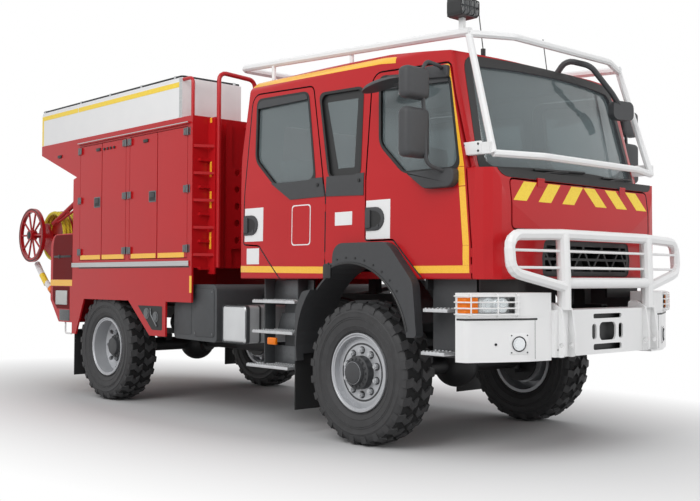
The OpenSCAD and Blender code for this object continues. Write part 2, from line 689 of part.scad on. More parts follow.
module bumper() color(white) {
    on_truck() difference() {
        span([1260, -640, 720], [bumper_x, 640, bumper_top]);
        span([1200, -626, 734], [bumper_x - bumper_t, 626, bumper_top - bumper_t]);
        translate([bumper_x - 60, 0, 0]) rotate([90, 0, 90]) linear_extrude(100) {
            polygon(pad(210, 130, 40, 0, 880));
            polygon(pad(360, 34, 12, 0, 990));
            polygon(pad(360, 44, 16, 0, 770));
            for (s = [-1, 1]) polygon(pad(56, 110, 24, s * 170, 880));
        }
    }
    both() {
        span([1150 + seat_gap, -rail_y + 10, rail_z + 20], [bumper_x - 5, -rail_y + rail_w - 10, rail_z + 180]);
        plan_prism(end_plan, bumper_z, end_top);
        difference() {
            plan_prism(end_plan, end_top - 1, lamp_high);
            lamp_pocket();
        }
        difference() {
            union() {
                gusset();
                translate([0, 120, 0]) gusset();
            }
            rod_y(tow_r, -gusset_y - 80, -gusset_y + 80, tow_place.x, tow_place.y);
        }
    }
}

// Bull bar: outer loop, two uprights, cross tube and thin rods
bar_top = 1560;
loop_y = bumper_half - 212;
upright_d = 96;
module bull_bar() color(white) {
    on_truck() {
        tube([[1462, -gusset_y, 1195], [1400, -loop_y, 1300], [1385, -loop_y - 5, bar_top - 15],
            [1440, -gusset_y, bar_top], [1440, gusset_y, bar_top], [1385, loop_y + 5, bar_top - 15],
            [1400, loop_y, 1300], [1462, gusset_y, 1195]], bar_d, 95);
        rod_y(bar_d / 2, -gusset_y, gusset_y, 1455, 1225);
        for (z = [1330, 1445])
            tube([[1400, -loop_y, z], [1446, -gusset_y, z], [1446, gusset_y, z], [1400, loop_y, z]], 20, 60, 8, 1);
    }
    both() tube([[1440, -gusset_y, bar_top], [1452, -gusset_y, 1250], [1452, -gusset_y, bumper_top + seat_gap]],
        upright_d, 200, 12, 2);
}

// Windscreen guard: lower and upper bowed tubes, raked uprights, roof rails and brackets
guard_low = [1213, cab_half - 90, 2104];
guard_top = [955, cab_roof_half - 65, 2965];
rail_d = 62;
rail_y_end = cab_roof_half - 115;
rail_x_end = -1797;
rail_rise = 0.06;
function roof_rail_z(x) = guard_top.z + 22 + (guard_top.x - x) * rail_rise;
guard_posts = [-1300, -300];
lamp_x = 880;
lamp_base = 3100;
module guard_half() {
    tube([[guard_low.x, -guard_low.y, guard_low.z], [guard_top.x, -guard_top.y, guard_top.z]], guard_d, 50);
    difference() {
        union() {
            span([940, -guard_low.y - 45, 2100], [guard_low.x, -guard_low.y - 5, 2180]);
            for (x = guard_posts)
                translate([x, -rail_y_end - 10, roof_z - 90])
                    cylinder(r = 18, h = roof_rail_z(x) - roof_z + 90, $fn = 24);
        }
        cab_form(-seat_gap);
    }
}
module windscreen_guard() color(white) {
    both() guard_half();
    on_truck() {
        tube([[guard_low.x, -guard_low.y, guard_low.z], [guard_low.x + 120, -600, guard_low.z],
            [guard_low.x + 120, 600, guard_low.z], [guard_low.x, guard_low.y, guard_low.z]], guard_d, 120, 8, 2);
        tube([[guard_top.x, -guard_top.y, guard_top.z + 10], [guard_top.x + 130, -600, guard_top.z + 20],
            [guard_top.x + 130, 600, guard_top.z + 20], [guard_top.x, guard_top.y, guard_top.z + 10]],
            guard_d, 120, 8, 2);
        tube([[guard_top.x + 12, -guard_top.y, roof_rail_z(guard_top.x)],
            [rail_x_end, -rail_y_end, roof_rail_z(rail_x_end)], [rail_x_end, rail_y_end, roof_rail_z(rail_x_end)],
            [guard_top.x + 12, guard_top.y, roof_rail_z(guard_top.x)]], rail_d, 110);
        span([lamp_x - 20, -guard_top.y, 3000], [lamp_x + 20, -guard_top.y + 30, lamp_base - seat_gap]);
    }
}

// Work lamp on the rail at the right of the roof
module work_lamp() color(black) on_truck()
    translate([lamp_x - 60, -guard_top.y + 15, lamp_base + 65]) rotate([90, 0, 90]) linear_extrude(130)
        polygon(pad(190, 130, 30));

// Steps under the rear doors and ahead of the front wheels
step_tread = 30;
rear_steps = [[-1340, -775, 1045], [-1340, -800, 790], [-1420, -860, 500]];
front_steps = [[700, 930, 1020], [680, 900, 720]];
step_y = cab_half + 10;
module cab_steps() color(silver) both() {
    for (s = rear_steps) span([s[0], -step_y, s[2]], [s[1], -step_y + 220, s[2] + step_tread]);
    for (x = [-1300, -860]) span([x, -step_y + 100, 500], [x + 12, -step_y + 215, cab_z]);
    for (s = front_steps) span([s[0], -step_y - 50, s[2]], [s[1], -corner_y - seat_gap, s[2] + step_tread]);
}

// Boxes between the axles: battery box, silver tank, air tanks
battery_outline = outline([[aft(-2560), 690, 40], [aft(-1870), 675, 40], [aft(-1870), 1195, 60],
    [aft(-2250), 1195, 60], [aft(-2560), 1010, 60]]);
module side_tanks() color(dark) both() {
    side_prism(battery_outline, -body_half + 75, -rail_y);
    side_prism(pad(330, 310, 45, aft(-1600), 850), -body_half + 70, -rail_y);
}

// Mudflaps behind the front and the rear wheels
flap_t = 10;
flap_in = plate_y;
module mudflaps() color(black) both() {
    span([-690 - flap_t - seat_gap, -flare_y + 10, 200], [-690 - seat_gap, -liner_in - 10, 900]);
    span([rear_x - 640, -body_half + skirt_t + seat_gap, 210], [rear_x - 640 + flap_t, -flap_in, 700]);
}

// Locker body

locker_low = 1436;
locker_high = 2655;
rail_low = 1363;
// Leaves of one flank: name, rear edge, front edge, hinge edge
leaf_table = [["1", aft(-4311), aft(-3838), -1], ["2", aft(-3838), aft(-3350), 1],
    ["3", aft(-3281), aft(-2762), -1], ["4", aft(-2762), aft(-2241), 1]];
slope_z = 2336;
slope_x = body_rear - 75;
body_profile = [[-body_front, body_z], [-body_front, deck_z], [-over_rear, deck_z], [-over_rear, deck_z - 105],
    [-slope_x, slope_z], [-body_rear, slope_z - 20], [-body_rear, body_z]];
module lockers() for (x = [[leaf_table[0][1], leaf_table[1][2]], [leaf_table[2][1], leaf_table[3][2]]])
    span([x[0], -body_half - 1, locker_low], [x[1], -body_half + locker_d, locker_high]);
tank_half = body_half - 570;
core = [rear_x - 600, aft(-2580)];
gutter = 26;
module body_shell() color(red) {
    on_truck() difference() {
        side_prism(body_profile, -body_half, body_half);
        lockers();
        mirror([0, 1, 0]) lockers();
    }
    on_truck() span([core[0], -tank_half, rail_z + rail_h], [core[1], tank_half, body_z + 1]);
    both() {
        span([leaf_table[0][1] - 19, -body_half - gutter, locker_high + 20],
            [-body_front - 34, -body_half + 1, locker_high + 36]);
        span([-body_rear, -body_half - 8, rail_low], [-body_front - 39, -body_half + 1, 1408]);
    }
}

hinge_r = 10;
hinge_l = 70;
hinge_z = [1490, 2040, 2570];
leaf_axis_y = body_half + hinge_r + seat_gap;
// Leaf with barrels turning on the frame's face beside its hinge edge
module leaf(row) {
    hinge_x = row[3] < 0 ? row[1] - hinge_r : row[2] + hinge_r;
    foot_x = hinge_x - row[3] * 20;
    strap_x = hinge_x - row[3] * 60;
    span([row[1] + leaf_gap, -body_half, locker_low + leaf_gap],
        [row[2] - leaf_gap, -body_half + leaf_t, locker_high - leaf_gap]);
    for (z = hinge_z) {
        translate([hinge_x, -leaf_axis_y, z]) cylinder(r = hinge_r, h = hinge_l, $fn = 32);
        span([min(hinge_x, strap_x), -leaf_axis_y - 3, z], [max(hinge_x, strap_x), -leaf_axis_y + 3, z + hinge_l]);
        span([min(foot_x, strap_x), -leaf_axis_y, z], [max(foot_x, strap_x), -body_half + 1, z + hinge_l]);
    }
}
module leaf_r1() color(red) right() leaf(leaf_table[0]);
module leaf_r2() color(red) right() leaf(leaf_table[1]);
module leaf_r3() color(red) right() leaf(leaf_table[2]);
module leaf_r4() color(red) right() leaf(leaf_table[3]);
module leaf_l1() color(red) left() leaf(leaf_table[0]);
module leaf_l2() color(red) left() leaf(leaf_table[1]);
module leaf_l3() color(red) left() leaf(leaf_table[2]);
module leaf_l4() color(red) left() leaf(leaf_table[3]);

// Skirt: flank panels with the rear wheel's arch, feet and the mudguard plate
skirt_t = 20;
skirt_low = 1029;
skirt = [[-body_rear, body_z], [-body_rear, 650], [rear_x - 580, 650], [rear_x - 400, skirt_low],
    [rear_x + 518, skirt_low], [aft(-2882), 700], [aft(-2600), 700], [aft(-2600), skirt_low],
    [-body_front, skirt_low], [-body_front, body_z]];
guard_in = body_half - 470;
guard_z = 1150;
module body_skirt() color(red) both() {
    side_prism(skirt, -body_half, -body_half + skirt_t);
    span([rear_x - 580, -body_half + skirt_t - 1, guard_z], [rear_x + 550, -guard_in, guard_z + 12]);
    span([rear_x - 580, -guard_in - 20, guard_z], [rear_x + 550, -guard_in, body_z]);
}

// Coaming round the deck
coaming_t = 30;
coaming_half = body_half - 5;
coaming_front = body_front + 184;
gate_half = 490;
module coaming() color(white) on_truck() difference() {
    span([-over_rear, -coaming_half, deck_z], [-coaming_front, coaming_half, coaming_z]);
    span([-coaming_front - coaming_t - 1, -gate_half, deck_z - 1], [-coaming_front + 1, gate_half, coaming_z + 1]);
    span([-over_rear + coaming_t, -coaming_half + coaming_t, deck_z - 1],
        [-coaming_front - coaming_t, coaming_half - coaming_t, coaming_z + 1]);
}

// Boarding ladder on the body's front face: a side plate, rungs, hand tubes, a post and a drilled plate
plate_out = -body_half + 176;
plate_in = plate_out + 12;
plate_reach = 110;
rung_low = 1330;
rung_pitch = 125;
rung_t = 25;
hand_d = 42;
hand_x = -body_front + plate_reach + 25;
hand_y = [plate_in + 8, plate_in + 420];
hand_top = 3150;
hoop_x = -body_front - 30;
hoop_y = -body_half + 22;
hoop_top = 3105;
post_y = [-body_half + 350, -body_half + 420];
post_reach = 36;
drilled_w = 190;
drilled_z = [1530, 2290];
// Rungs by turns: straight along the face, or slanted from the corner out to the plate
straight_rung = [[0, hoop_y + 45], [36, hoop_y + 45], [36, plate_out + 1], [0, plate_out + 1]];
slanted_rung = [[0, hoop_y - 10], [8, hoop_y - 10], [95, plate_out + 1], [60, plate_out + 1]];
module ladder() color(red) on_truck() {
    span([-body_front, plate_out, 1290], [-body_front + plate_reach, plate_in, deck_z - 10]);
    for (i = [0:9])
        translate([-body_front, 0, rung_low + i * rung_pitch]) linear_extrude(rung_t)
            polygon(i % 2 == 0 ? straight_rung : slanted_rung);
    tube([[hand_x, hand_y[0], 1350], [hand_x, hand_y[0], hand_top], [hand_x, hand_y[1], hand_top - 25],
        [hand_x, hand_y[1], deck_z - 57]], hand_d, 70);
    for (z = [1400, 2000, 2600])
        span([-body_front + plate_reach - 30, plate_in - 1, z], [hand_x, plate_in + 14, z + 40]);
    span([-body_front, hand_y[1] - 15, deck_z - 57], [hand_x + 20, hand_y[1] + 15, deck_z - 27]);
    tube([[hoop_x, hoop_y, deck_z + seat_gap], [hoop_x, hoop_y, hoop_top],
        [-coaming_front + seat_gap, hoop_y, hoop_top]], 34, 50);
    span([-body_front, post_y[0], body_z], [-body_front + post_reach, post_y[1], deck_z - 47]);
    difference() {
        span([-body_front + 20, post_y[1] - 1, drilled_z[0]],
            [-body_front + 34, post_y[1] + drilled_w, drilled_z[1]]);
        for (i = [0:4])
            translate([-body_front, post_y[1] + 65, drilled_z[0] + 80 + i * 160]) rotate([0, 90, 0])
                cylinder(r = 32, h = 60, $fn = 32);
    }
}

// Tail: corner boxes, tail lamps plate and cross beam
tail_end = body_rear + 522;
tail_top = 1735;
tail_w = 400;
beam_top = 1320;
tail_profile = outline([[-body_rear - seat_gap, 770, 0], [-body_rear - seat_gap, tail_top, 0],
    [-tail_end, tail_top, 150], [-tail_end, 1010, 20], [-tail_end + 205, 770, 30]]);
module tail_boxes() color(red) {
    both() side_prism(tail_profile, -body_half + 5, -body_half + 5 + tail_w);
    on_truck() span([-tail_end, -body_half + tail_w, rail_z + rail_h],
        [-body_rear - seat_gap, body_half - tail_w, beam_top]);
}

// Reel cart: side frames and arms on the tail beam, drum with the wound hose and two spoked wheels
frame_y = body_half - 240;
drum_half = frame_y - 230;
frame_t = 30;
arm_in = 240;
arm_d = 60;
frame_outline = outline([[-tail_end, beam_top, 0], [-tail_end, beam_top - 85, 30], [-reel_x + 90, reel_z - 190, 90],
    [-reel_x - 110, reel_z - 100, 90], [-reel_x - 110, reel_z + 100, 90], [-reel_x + 90, reel_z + 150, 60],
    [-reel_x + 400, reel_z - 250, 60]]);
module reel_frame() color(dark_red) {
    both() difference() {
        side_prism(frame_outline, -frame_y - frame_t / 2, -frame_y + frame_t / 2);
        rod_y(reel_axle_r + run_gap, -frame_y - 30, -frame_y + 30, -reel_x, reel_z);
    }
    on_truck() span([-tail_end - 105, -frame_y, beam_top - 80], [-tail_end, frame_y, beam_top - 10]);
    both() tube([[-reel_x + 150, -frame_y + 40, reel_z + 130], [-tail_end - 75, -frame_y + arm_in, 2250],
        [-body_rear - 97, -frame_y + arm_in, 2080], [-body_rear - seat_gap, -frame_y + arm_in, 2080]], arm_d, 100);
}
spokes = 10;
cart_y = frame_y + 150;
module spoked_wheel() {
    rotate([90, 0, 0]) rotate_extrude($fn = 48)
        polygon([[cart_r - 45, -20], [cart_r, -20], [cart_r, 20], [cart_r - 45, 20]]);
    rod_y(60, -40, 40, 0, 0);
    for (i = [0:spokes - 1])
        rotate([0, 360 / spokes * i, 0]) translate([40, 0, 0]) rotate([0, 90, 0])
            cylinder(r = 11, h = cart_r - 70, $fn = 16);
}
module reel_drum() color("#C8B21C") on_truck() translate([-reel_x, 0, reel_z]) {
    rod_y(reel_axle_r, -cart_y - 30, cart_y + 30, 0, 0);
    rod_y(250, -drum_half, drum_half, 0, 0);
    for (s = [-1, 1]) {
        rod_y(300, s * (drum_half + 10) - 10, s * (drum_half + 10) + 10, 0, 0);
        translate([0, s * cart_y, 0]) spoked_wheel();
    }
}

chassis_frame();
engine_block();
driveline();
front_axle();
rear_axle();
leaf_springs();
knuckle_r();
knuckle_l();
wheel_fr();
tyre_fr();
wheel_fl();
tyre_fl();
wheel_rr();
tyre_rr();
wheel_rl();
tyre_rl();
cab_body();
cab_glass();
front_lid();
grille();
cab_trim();
seats();
dashboard();
door_fr();
glass_fr();
mirror_r();
door_fl();
glass_fl();
mirror_l();
door_rr();
glass_rr();
door_rl();
glass_rl();
bumper();
headlamps();
bull_bar();
windscreen_guard();
work_lamp();
cab_steps();
side_tanks();
mudflaps();
body_shell();
body_skirt();
coaming();
ladder();
tail_boxes();
leaf_r1();
leaf_r2();
leaf_r3();
leaf_r4();
leaf_l1();
leaf_l2();
leaf_l3();
leaf_l4();
reel_frame();
reel_drum();
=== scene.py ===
# Forest fire truck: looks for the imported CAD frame. Places are written in millimetres, X from the front axle,
# Y to the driver's left and Z up from the ground, as in the part's source.
import math

import bmesh
import bpy
from mathutils import Matrix, Vector


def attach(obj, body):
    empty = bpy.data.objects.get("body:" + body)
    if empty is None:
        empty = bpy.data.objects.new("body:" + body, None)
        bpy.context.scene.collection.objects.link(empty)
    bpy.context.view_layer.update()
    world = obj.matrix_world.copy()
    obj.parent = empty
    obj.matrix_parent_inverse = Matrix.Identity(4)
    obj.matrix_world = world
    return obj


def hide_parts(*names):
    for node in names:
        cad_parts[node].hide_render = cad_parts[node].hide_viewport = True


scene = bpy.context.scene
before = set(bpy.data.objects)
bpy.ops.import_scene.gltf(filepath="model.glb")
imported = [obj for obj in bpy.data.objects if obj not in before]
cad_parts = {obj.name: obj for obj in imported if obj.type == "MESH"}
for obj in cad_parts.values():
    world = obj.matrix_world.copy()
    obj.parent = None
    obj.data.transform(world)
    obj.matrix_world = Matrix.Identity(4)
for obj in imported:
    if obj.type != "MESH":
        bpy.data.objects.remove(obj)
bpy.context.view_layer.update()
FRONT_AXLE = 2.230
RIGHT, LEFT = -1, 1
HANDS = ((RIGHT, "right", "r"), (LEFT, "left", "l"))


def at(x, y, z):
    """Point of the truck in metres, from millimetres behind or ahead of the front axle."""
    return Vector((FRONT_AXLE + x / 1000, y / 1000, z / 1000))


# Camera: a press photograph taken at chest height from ahead and to the right of the truck, with a
# short telephoto lens. Its place comes from the two axles, the cab's corners and the locker body.
EYE = (5495.3, -6260.2, 1253.5)
LOOK = Vector((-0.73517, 0.67695, 0.03507))
ROLL = math.radians(0.159)
camera_data = bpy.data.cameras.new("press_camera")
camera_data.sensor_width = 36
camera_data.lens = 51.22
camera_data.shift_y = -0.01006
camera_data.clip_end = 400
camera = bpy.data.objects.new("press_camera", camera_data)
scene.collection.objects.link(camera)
look_turn = LOOK.normalized().to_track_quat("-Z", "Y").to_matrix().to_4x4()
camera.matrix_world = Matrix.Translation(at(*EYE)) @ look_turn @ Matrix.Rotation(ROLL, 4, "Z")
scene.camera = camera

# Studio: white sweep and even light from all round, with one large soft lamp high on the camera's left
# and a weaker one ahead, so that the flank is lit and the ground under the truck goes dark.


def linear(hex_code):
    """sRGB hex to linear RGBA."""
    parts = [int(hex_code[i:i + 2], 16) / 255 for i in (1, 3, 5)]
    return (*[p / 12.92 if p <= 0.04045 else ((p + 0.055) / 1.055) ** 2.4 for p in parts], 1.0)


def add(tree, kind, inputs=None, **settings):
    """Adds one node, with its settings, its constants and its links."""
    node = tree.nodes.new(kind)
    for key, value in settings.items():
        setattr(node, key, value)
    for key, value in (inputs or {}).items():
        if isinstance(value, bpy.types.NodeSocket):
            tree.links.new(value, node.inputs[key])
        else:
            node.inputs[key].default_value = value
    return node


def finish(name):
    """Empty material, its node tree and the object coordinates for its patterns."""
    made = bpy.data.materials.new(name)
    made.use_nodes = True
    made.node_tree.nodes.clear()
    return made, made.node_tree, add(made.node_tree, "ShaderNodeTexCoord").outputs["Object"]


def seen_straight(tree):
    """Whether a ray comes from the camera, a mirror or a pane."""
    ray = add(tree, "ShaderNodeLightPath").outputs
    seen = ray["Is Camera Ray"]
    for kind in ("Is Glossy Ray", "Is Transmission Ray"):
        seen = add(tree, "ShaderNodeMath", {0: seen, 1: ray[kind]}, operation="MAXIMUM").outputs[0]
    return seen


scene.view_settings.view_transform = "Standard"
world = bpy.data.worlds.new("white_studio")
scene.world = world
world.use_nodes = True
air = world.node_tree
air.nodes.clear()
wall = add(air, "ShaderNodeBackground", {"Color": linear("#FFFFFF"), "Strength": 1.0})
sky_up = add(air, "ShaderNodeSeparateXYZ", {0: add(air, "ShaderNodeTexCoord").outputs["Generated"]})
sky_fade = add(air, "ShaderNodeMapRange", {"Value": sky_up.outputs["Z"], "From Min": -0.1, "From Max": 0.9,
                                          "To Min": 0.50, "To Max": 0.76})
glow = add(air, "ShaderNodeBackground", {"Color": linear("#FDFDFF"), "Strength": sky_fade.outputs[0]})
both_skies = add(air, "ShaderNodeMixShader", {0: seen_straight(air), 1: glow.outputs[0], 2: wall.outputs[0]})
add(air, "ShaderNodeOutputWorld", {"Surface": both_skies.outputs[0]})

# Soft lamps: name, place, point aimed at, size in metres, watts
LAMPS = [
    ("key_lamp", (1500, -9000, 7500), (-1500, 0, 1500), 6.0, 500.0),
    ("front_lamp", (9500, 1500, 5000), (1000, 0, 1500), 5.0, 215.0),
]
for lamp_name, lamp_place, lamp_aim, lamp_size, lamp_watts in LAMPS:
    lamp_data = bpy.data.lights.new(lamp_name, "AREA")
    lamp_data.size = lamp_size
    lamp_data.energy = lamp_watts
    lamp = bpy.data.objects.new(lamp_name, lamp_data)
    scene.collection.objects.link(lamp)
    lamp_turn = (at(*lamp_aim) - at(*lamp_place)).to_track_quat("-Z", "Y").to_matrix().to_4x4()
    lamp.matrix_world = Matrix.Translation(at(*lamp_place)) @ lamp_turn

floor_mesh = bpy.data.meshes.new("studio_floor")
floor_bm = bmesh.new()
bmesh.ops.create_circle(floor_bm, cap_ends=True, segments=64, radius=120.0)
floor_bm.to_mesh(floor_mesh)
floor_bm.free()
floor = bpy.data.objects.new("studio_floor", floor_mesh)
scene.collection.objects.link(floor)
sweep, tree, place = finish("pale_studio_sweep")
paper = add(tree, "ShaderNodeBsdfDiffuse", {"Color": linear("#CACACA")})
# Near the truck the sweep is grey and diffuse and carries the truck's real shadow; its fade by distance into the white
# background paints a soft grey shadow round the truck.
round_truck = add(tree, "ShaderNodeMapping", {"Vector": place, "Scale": (0.5, 1.0, 1.0)})
far = add(tree, "ShaderNodeVectorMath", {0: round_truck.outputs[0]}, operation="LENGTH")
painted_halo_fade = add(tree, "ShaderNodeMapRange", {"Value": far.outputs["Value"], "From Min": 1.6, "From Max": 3.6})
open_floor = add(tree, "ShaderNodeMath", {0: painted_halo_fade.outputs[0], 1: seen_straight(tree)}, operation="MULTIPLY")
white = add(tree, "ShaderNodeEmission", {"Color": linear("#FFFFFF"), "Strength": 1.0})
mixed = add(tree, "ShaderNodeMixShader", {0: open_floor.outputs[0], 1: paper.outputs[0], 2: white.outputs[0]})
add(tree, "ShaderNodeOutputMaterial", {"Surface": mixed.outputs[0]})
floor_mesh.materials.append(sweep)


# Chassis: pressed steel rails, axles, springs and the drive train, sprayed with satin black chassis paint over primer.
# The film is a little uneven, with dust in random clouds.


def per_mm(size):
    """Scale of a texture whose pattern repeats about every so many millimetres; a wave is three times finer."""
    return 1000 / size


def sprayed(name, low, high, rough, cloud_mm, grain_mm, bump, metal=0.0, coat=0.0, gloss=0.5):
    """Paint film: two close shades in clouds and a fine orange peel, with an optional clear coat."""
    made, tree, place = finish(name)
    clouds = add(tree, "ShaderNodeTexNoise", {"Vector": place, "Scale": per_mm(cloud_mm), "Detail": 3.0})
    shade = add(tree, "ShaderNodeMix", {0: clouds.outputs[0], 6: linear(low), 7: linear(high)}, data_type="RGBA")
    peel = add(tree, "ShaderNodeTexNoise", {"Vector": place, "Scale": per_mm(grain_mm), "Detail": 1.0})
    relief = add(tree, "ShaderNodeBump", {"Height": peel.outputs[0], "Strength": bump, "Distance": 0.0006})
    spread = add(tree, "ShaderNodeMapRange", {"Value": clouds.outputs[0], "To Min": rough - 0.05,
                                              "To Max": rough + 0.05})
    shader = add(tree, "ShaderNodeBsdfPrincipled", {
        "Base Color": shade.outputs[2], "Roughness": spread.outputs[0], "Normal": relief.outputs[0],
        "Metallic": metal, "Specular IOR Level": gloss, "Coat Weight": coat, "Coat Roughness": 0.06})
    add(tree, "ShaderNodeOutputMaterial", {"Surface": shader.outputs[0]})
    return made


def figured(name, kind, pattern, low, high, surface, relief=None, **settings):
    """Finish with one pattern that sets its shade between two colours and, where given, its relief."""
    made, tree, place = finish(name)
    figure = add(tree, kind, {"Vector": place, **pattern}, **settings).outputs[0]
    shade = add(tree, "ShaderNodeMix", {0: figure, 6: linear(low), 7: linear(high)}, data_type="RGBA")
    shader = add(tree, "ShaderNodeBsdfPrincipled", {"Base Color": shade.outputs[2], **surface})
    if relief:
        bump = add(tree, "ShaderNodeBump", {"Height": figure, "Strength": relief[0], "Distance": relief[1]})
        tree.links.new(bump.outputs[0], shader.inputs["Normal"])
    add(tree, "ShaderNodeOutputMaterial", {"Surface": shader.outputs[0]})
    return made


def dress(material, *nodes):
    """Gives CAD nodes their finish."""
    for node in nodes:
        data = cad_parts[node].data
        data.materials.clear()
        data.materials.append(material)


chassis_paint = sprayed("satin_black_chassis_paint", "#141415", "#242426", 0.5, 160, 4, 0.15)
cast_grey = sprayed("grey_painted_cast_iron", "#2C2E30", "#3E4042", 0.6, 90, 3, 0.4)
dress(chassis_paint, "chassis_frame", "driveline", "front_axle", "rear_axle", "leaf_springs", "knuckle_r", "knuckle_l")
dress(cast_grey, "engine_block")

# Under-frame fittings between the axles: air reservoirs, pipes and the cross tubes that show under the body,
# steel tube and hose clipped to the rails.


def rod(bm, start, end, radius, segments=16):
    """Round bar between two points in metres."""
    way = end - start
    turn = way.to_track_quat("Z", "Y").to_matrix().to_4x4()
    bmesh.ops.create_cone(bm, cap_ends=True, segments=segments, radius1=radius, radius2=radius, depth=way.length,
                          matrix=Matrix.Translation((start + end) / 2) @ turn)


def block(bm, low, high, edge=0.0, steps=2):
    """Block between two corners in metres, its edges rounded."""
    low, high = (Vector([pick(a, b) for a, b in zip(low, high)]) for pick in (min, max))
    verts = bmesh.ops.create_cube(bm, size=1.0)["verts"]
    bmesh.ops.scale(bm, vec=high - low, verts=verts)
    bmesh.ops.translate(bm, vec=(low + high) / 2, verts=verts)
    if edge:
        edges = list({e for v in verts for e in v.link_edges})
        bmesh.ops.bevel(bm, geom=edges, offset=edge, offset_type="OFFSET", affect="EDGES", segments=steps,
                        profile=0.5, material=-1)


def piece(name, bm, material, body, replaces=None, crease=40):
    """Makes the object of a finished mesh and sets it on its body."""
    data = bpy.data.meshes.new(name)
    bm.to_mesh(data)
    bm.free()
    data.materials.append(material)
    data.shade_smooth()
    data.set_sharp_from_angle(angle=math.radians(crease))
    made = bpy.data.objects.new(name, data)
    scene.collection.objects.link(made)
    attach(made, body)
    if replaces:
        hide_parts(replaces)
    return made


def path_tube(bm, points, radius, segments=10):
    """Bent round tube through points in metres, with closed ends."""
    rings = []
    ahead = Vector((0.137, 0.211, 0.968))
    for i, point in enumerate(points):
        way = (points[min(i + 1, len(points) - 1)] - points[max(i - 1, 0)]).normalized()
        side = way.cross(ahead).normalized()
        up = side.cross(way)
        ring = [bm.verts.new(point + radius * (side * math.cos(t) + up * math.sin(t)))
                for t in (2 * math.pi * k / segments for k in range(segments))]
        rings.append([bm.edges.new((ring[k], ring[(k + 1) % segments])) for k in range(segments)])
    for one, two in zip(rings, rings[1:]):
        bmesh.ops.bridge_loops(bm, edges=one + two)
    for end in (rings[0], rings[-1]):
        bmesh.ops.contextual_create(bm, geom=end)
    bmesh.ops.recalc_face_normals(bm, faces=bm.faces)


def rounded(points, bend, steps=5):
    """Polyline in metres with its corners rounded."""
    out = [points[0]]
    for a, b, c in zip(points, points[1:], points[2:]):
        reach = min(bend, (a - b).length * 0.45, (c - b).length * 0.45)
        start, end = b + (a - b).normalized() * reach, b + (c - b).normalized() * reach
        out += [start.lerp(b, t).lerp(b.lerp(end, t), t) for t in (i / steps for i in range(steps + 1))]
    return out + [points[-1]]


bm = bmesh.new()
for hand, _, _ in HANDS:
    for x0, x1, y, z, r in ((-3300, -2600, 560, 800, 110), (-2450, -1950, 380, 640, 90)):
        rod(bm, at(x0, hand * y, z), at(x1, hand * y, z), r / 1000, 24)
    path_tube(bm, rounded([at(900, hand * 470, 950), at(-600, hand * 475, 960), at(-1500, hand * 478, 940),
                           at(-4700, hand * 478, 960)], 0.1), 0.014)
    path_tube(bm, rounded([at(-600, hand * 490, 1030), at(-1000, hand * 620, 1120), at(-1350, hand * 700, 1180),
                           at(-1700, hand * 620, 1110), at(-2100, hand * 490, 1040)], 0.2), 0.022)
piece("under_frame_fittings", bm, chassis_paint, "truck")

# Wheels: pressed steel discs welded into drop-centre rims, sprayed silver. Ten nuts each; the front ones carry a
# dark hub with a cap and the rear ones are dished, with the nuts deep inside.
WHEEL_Y, AXLE_Z, WHEELBASE = 986, 545, 3800
CORNERS = [("front_right", "fr", RIGHT, 0), ("front_left", "fl", LEFT, 0),
           ("rear_right", "rr", RIGHT, -WHEELBASE), ("rear_left", "rl", LEFT, -WHEELBASE)]
rim_paint = sprayed("silver_sprayed_steel", "#AFB1B4", "#C0C2C5", 0.42, 120, 2.5, 0.08, metal=0.35)
hub_iron = sprayed("dark_grey_hub_casting", "#303133", "#434446", 0.5, 60, 2, 0.3)
zinc = sprayed("zinc_plated_steel", "#B2B4B6", "#CBCDCF", 0.3, 30, 1.5, 0.05, metal=0.4)
NUTS, NUT_CIRCLE = 10, 167.5


def turned(bm, profile, centre, hand, segments=48):
    """Ring of revolution about a wheel's axis; profile of radius and distance outwards in millimetres."""
    verts = [bm.verts.new(Vector((0, hand * out / 1000, radius / 1000)) + centre) for radius, out in profile]
    edges = [bm.edges.new(pair) for pair in zip(verts, verts[1:])]
    bmesh.ops.spin(bm, geom=verts + edges, cent=centre, axis=(0, 1, 0), angle=2 * math.pi, steps=segments,
                   use_merge=True)


def round_axle(centre, radius, angle, across=0.0):
    """Point so far from a wheel's middle in millimetres, at an angle about its axle."""
    return centre + Vector((radius * math.cos(angle), across, radius * math.sin(angle))) / 1000


def close_up(bm):
    """Merges seams and poles, and turns all faces outwards."""
    bmesh.ops.remove_doubles(bm, verts=bm.verts, dist=1e-5)
    bmesh.ops.dissolve_degenerate(bm, edges=bm.edges, dist=1e-6)
    bmesh.ops.recalc_face_normals(bm, faces=bm.faces)


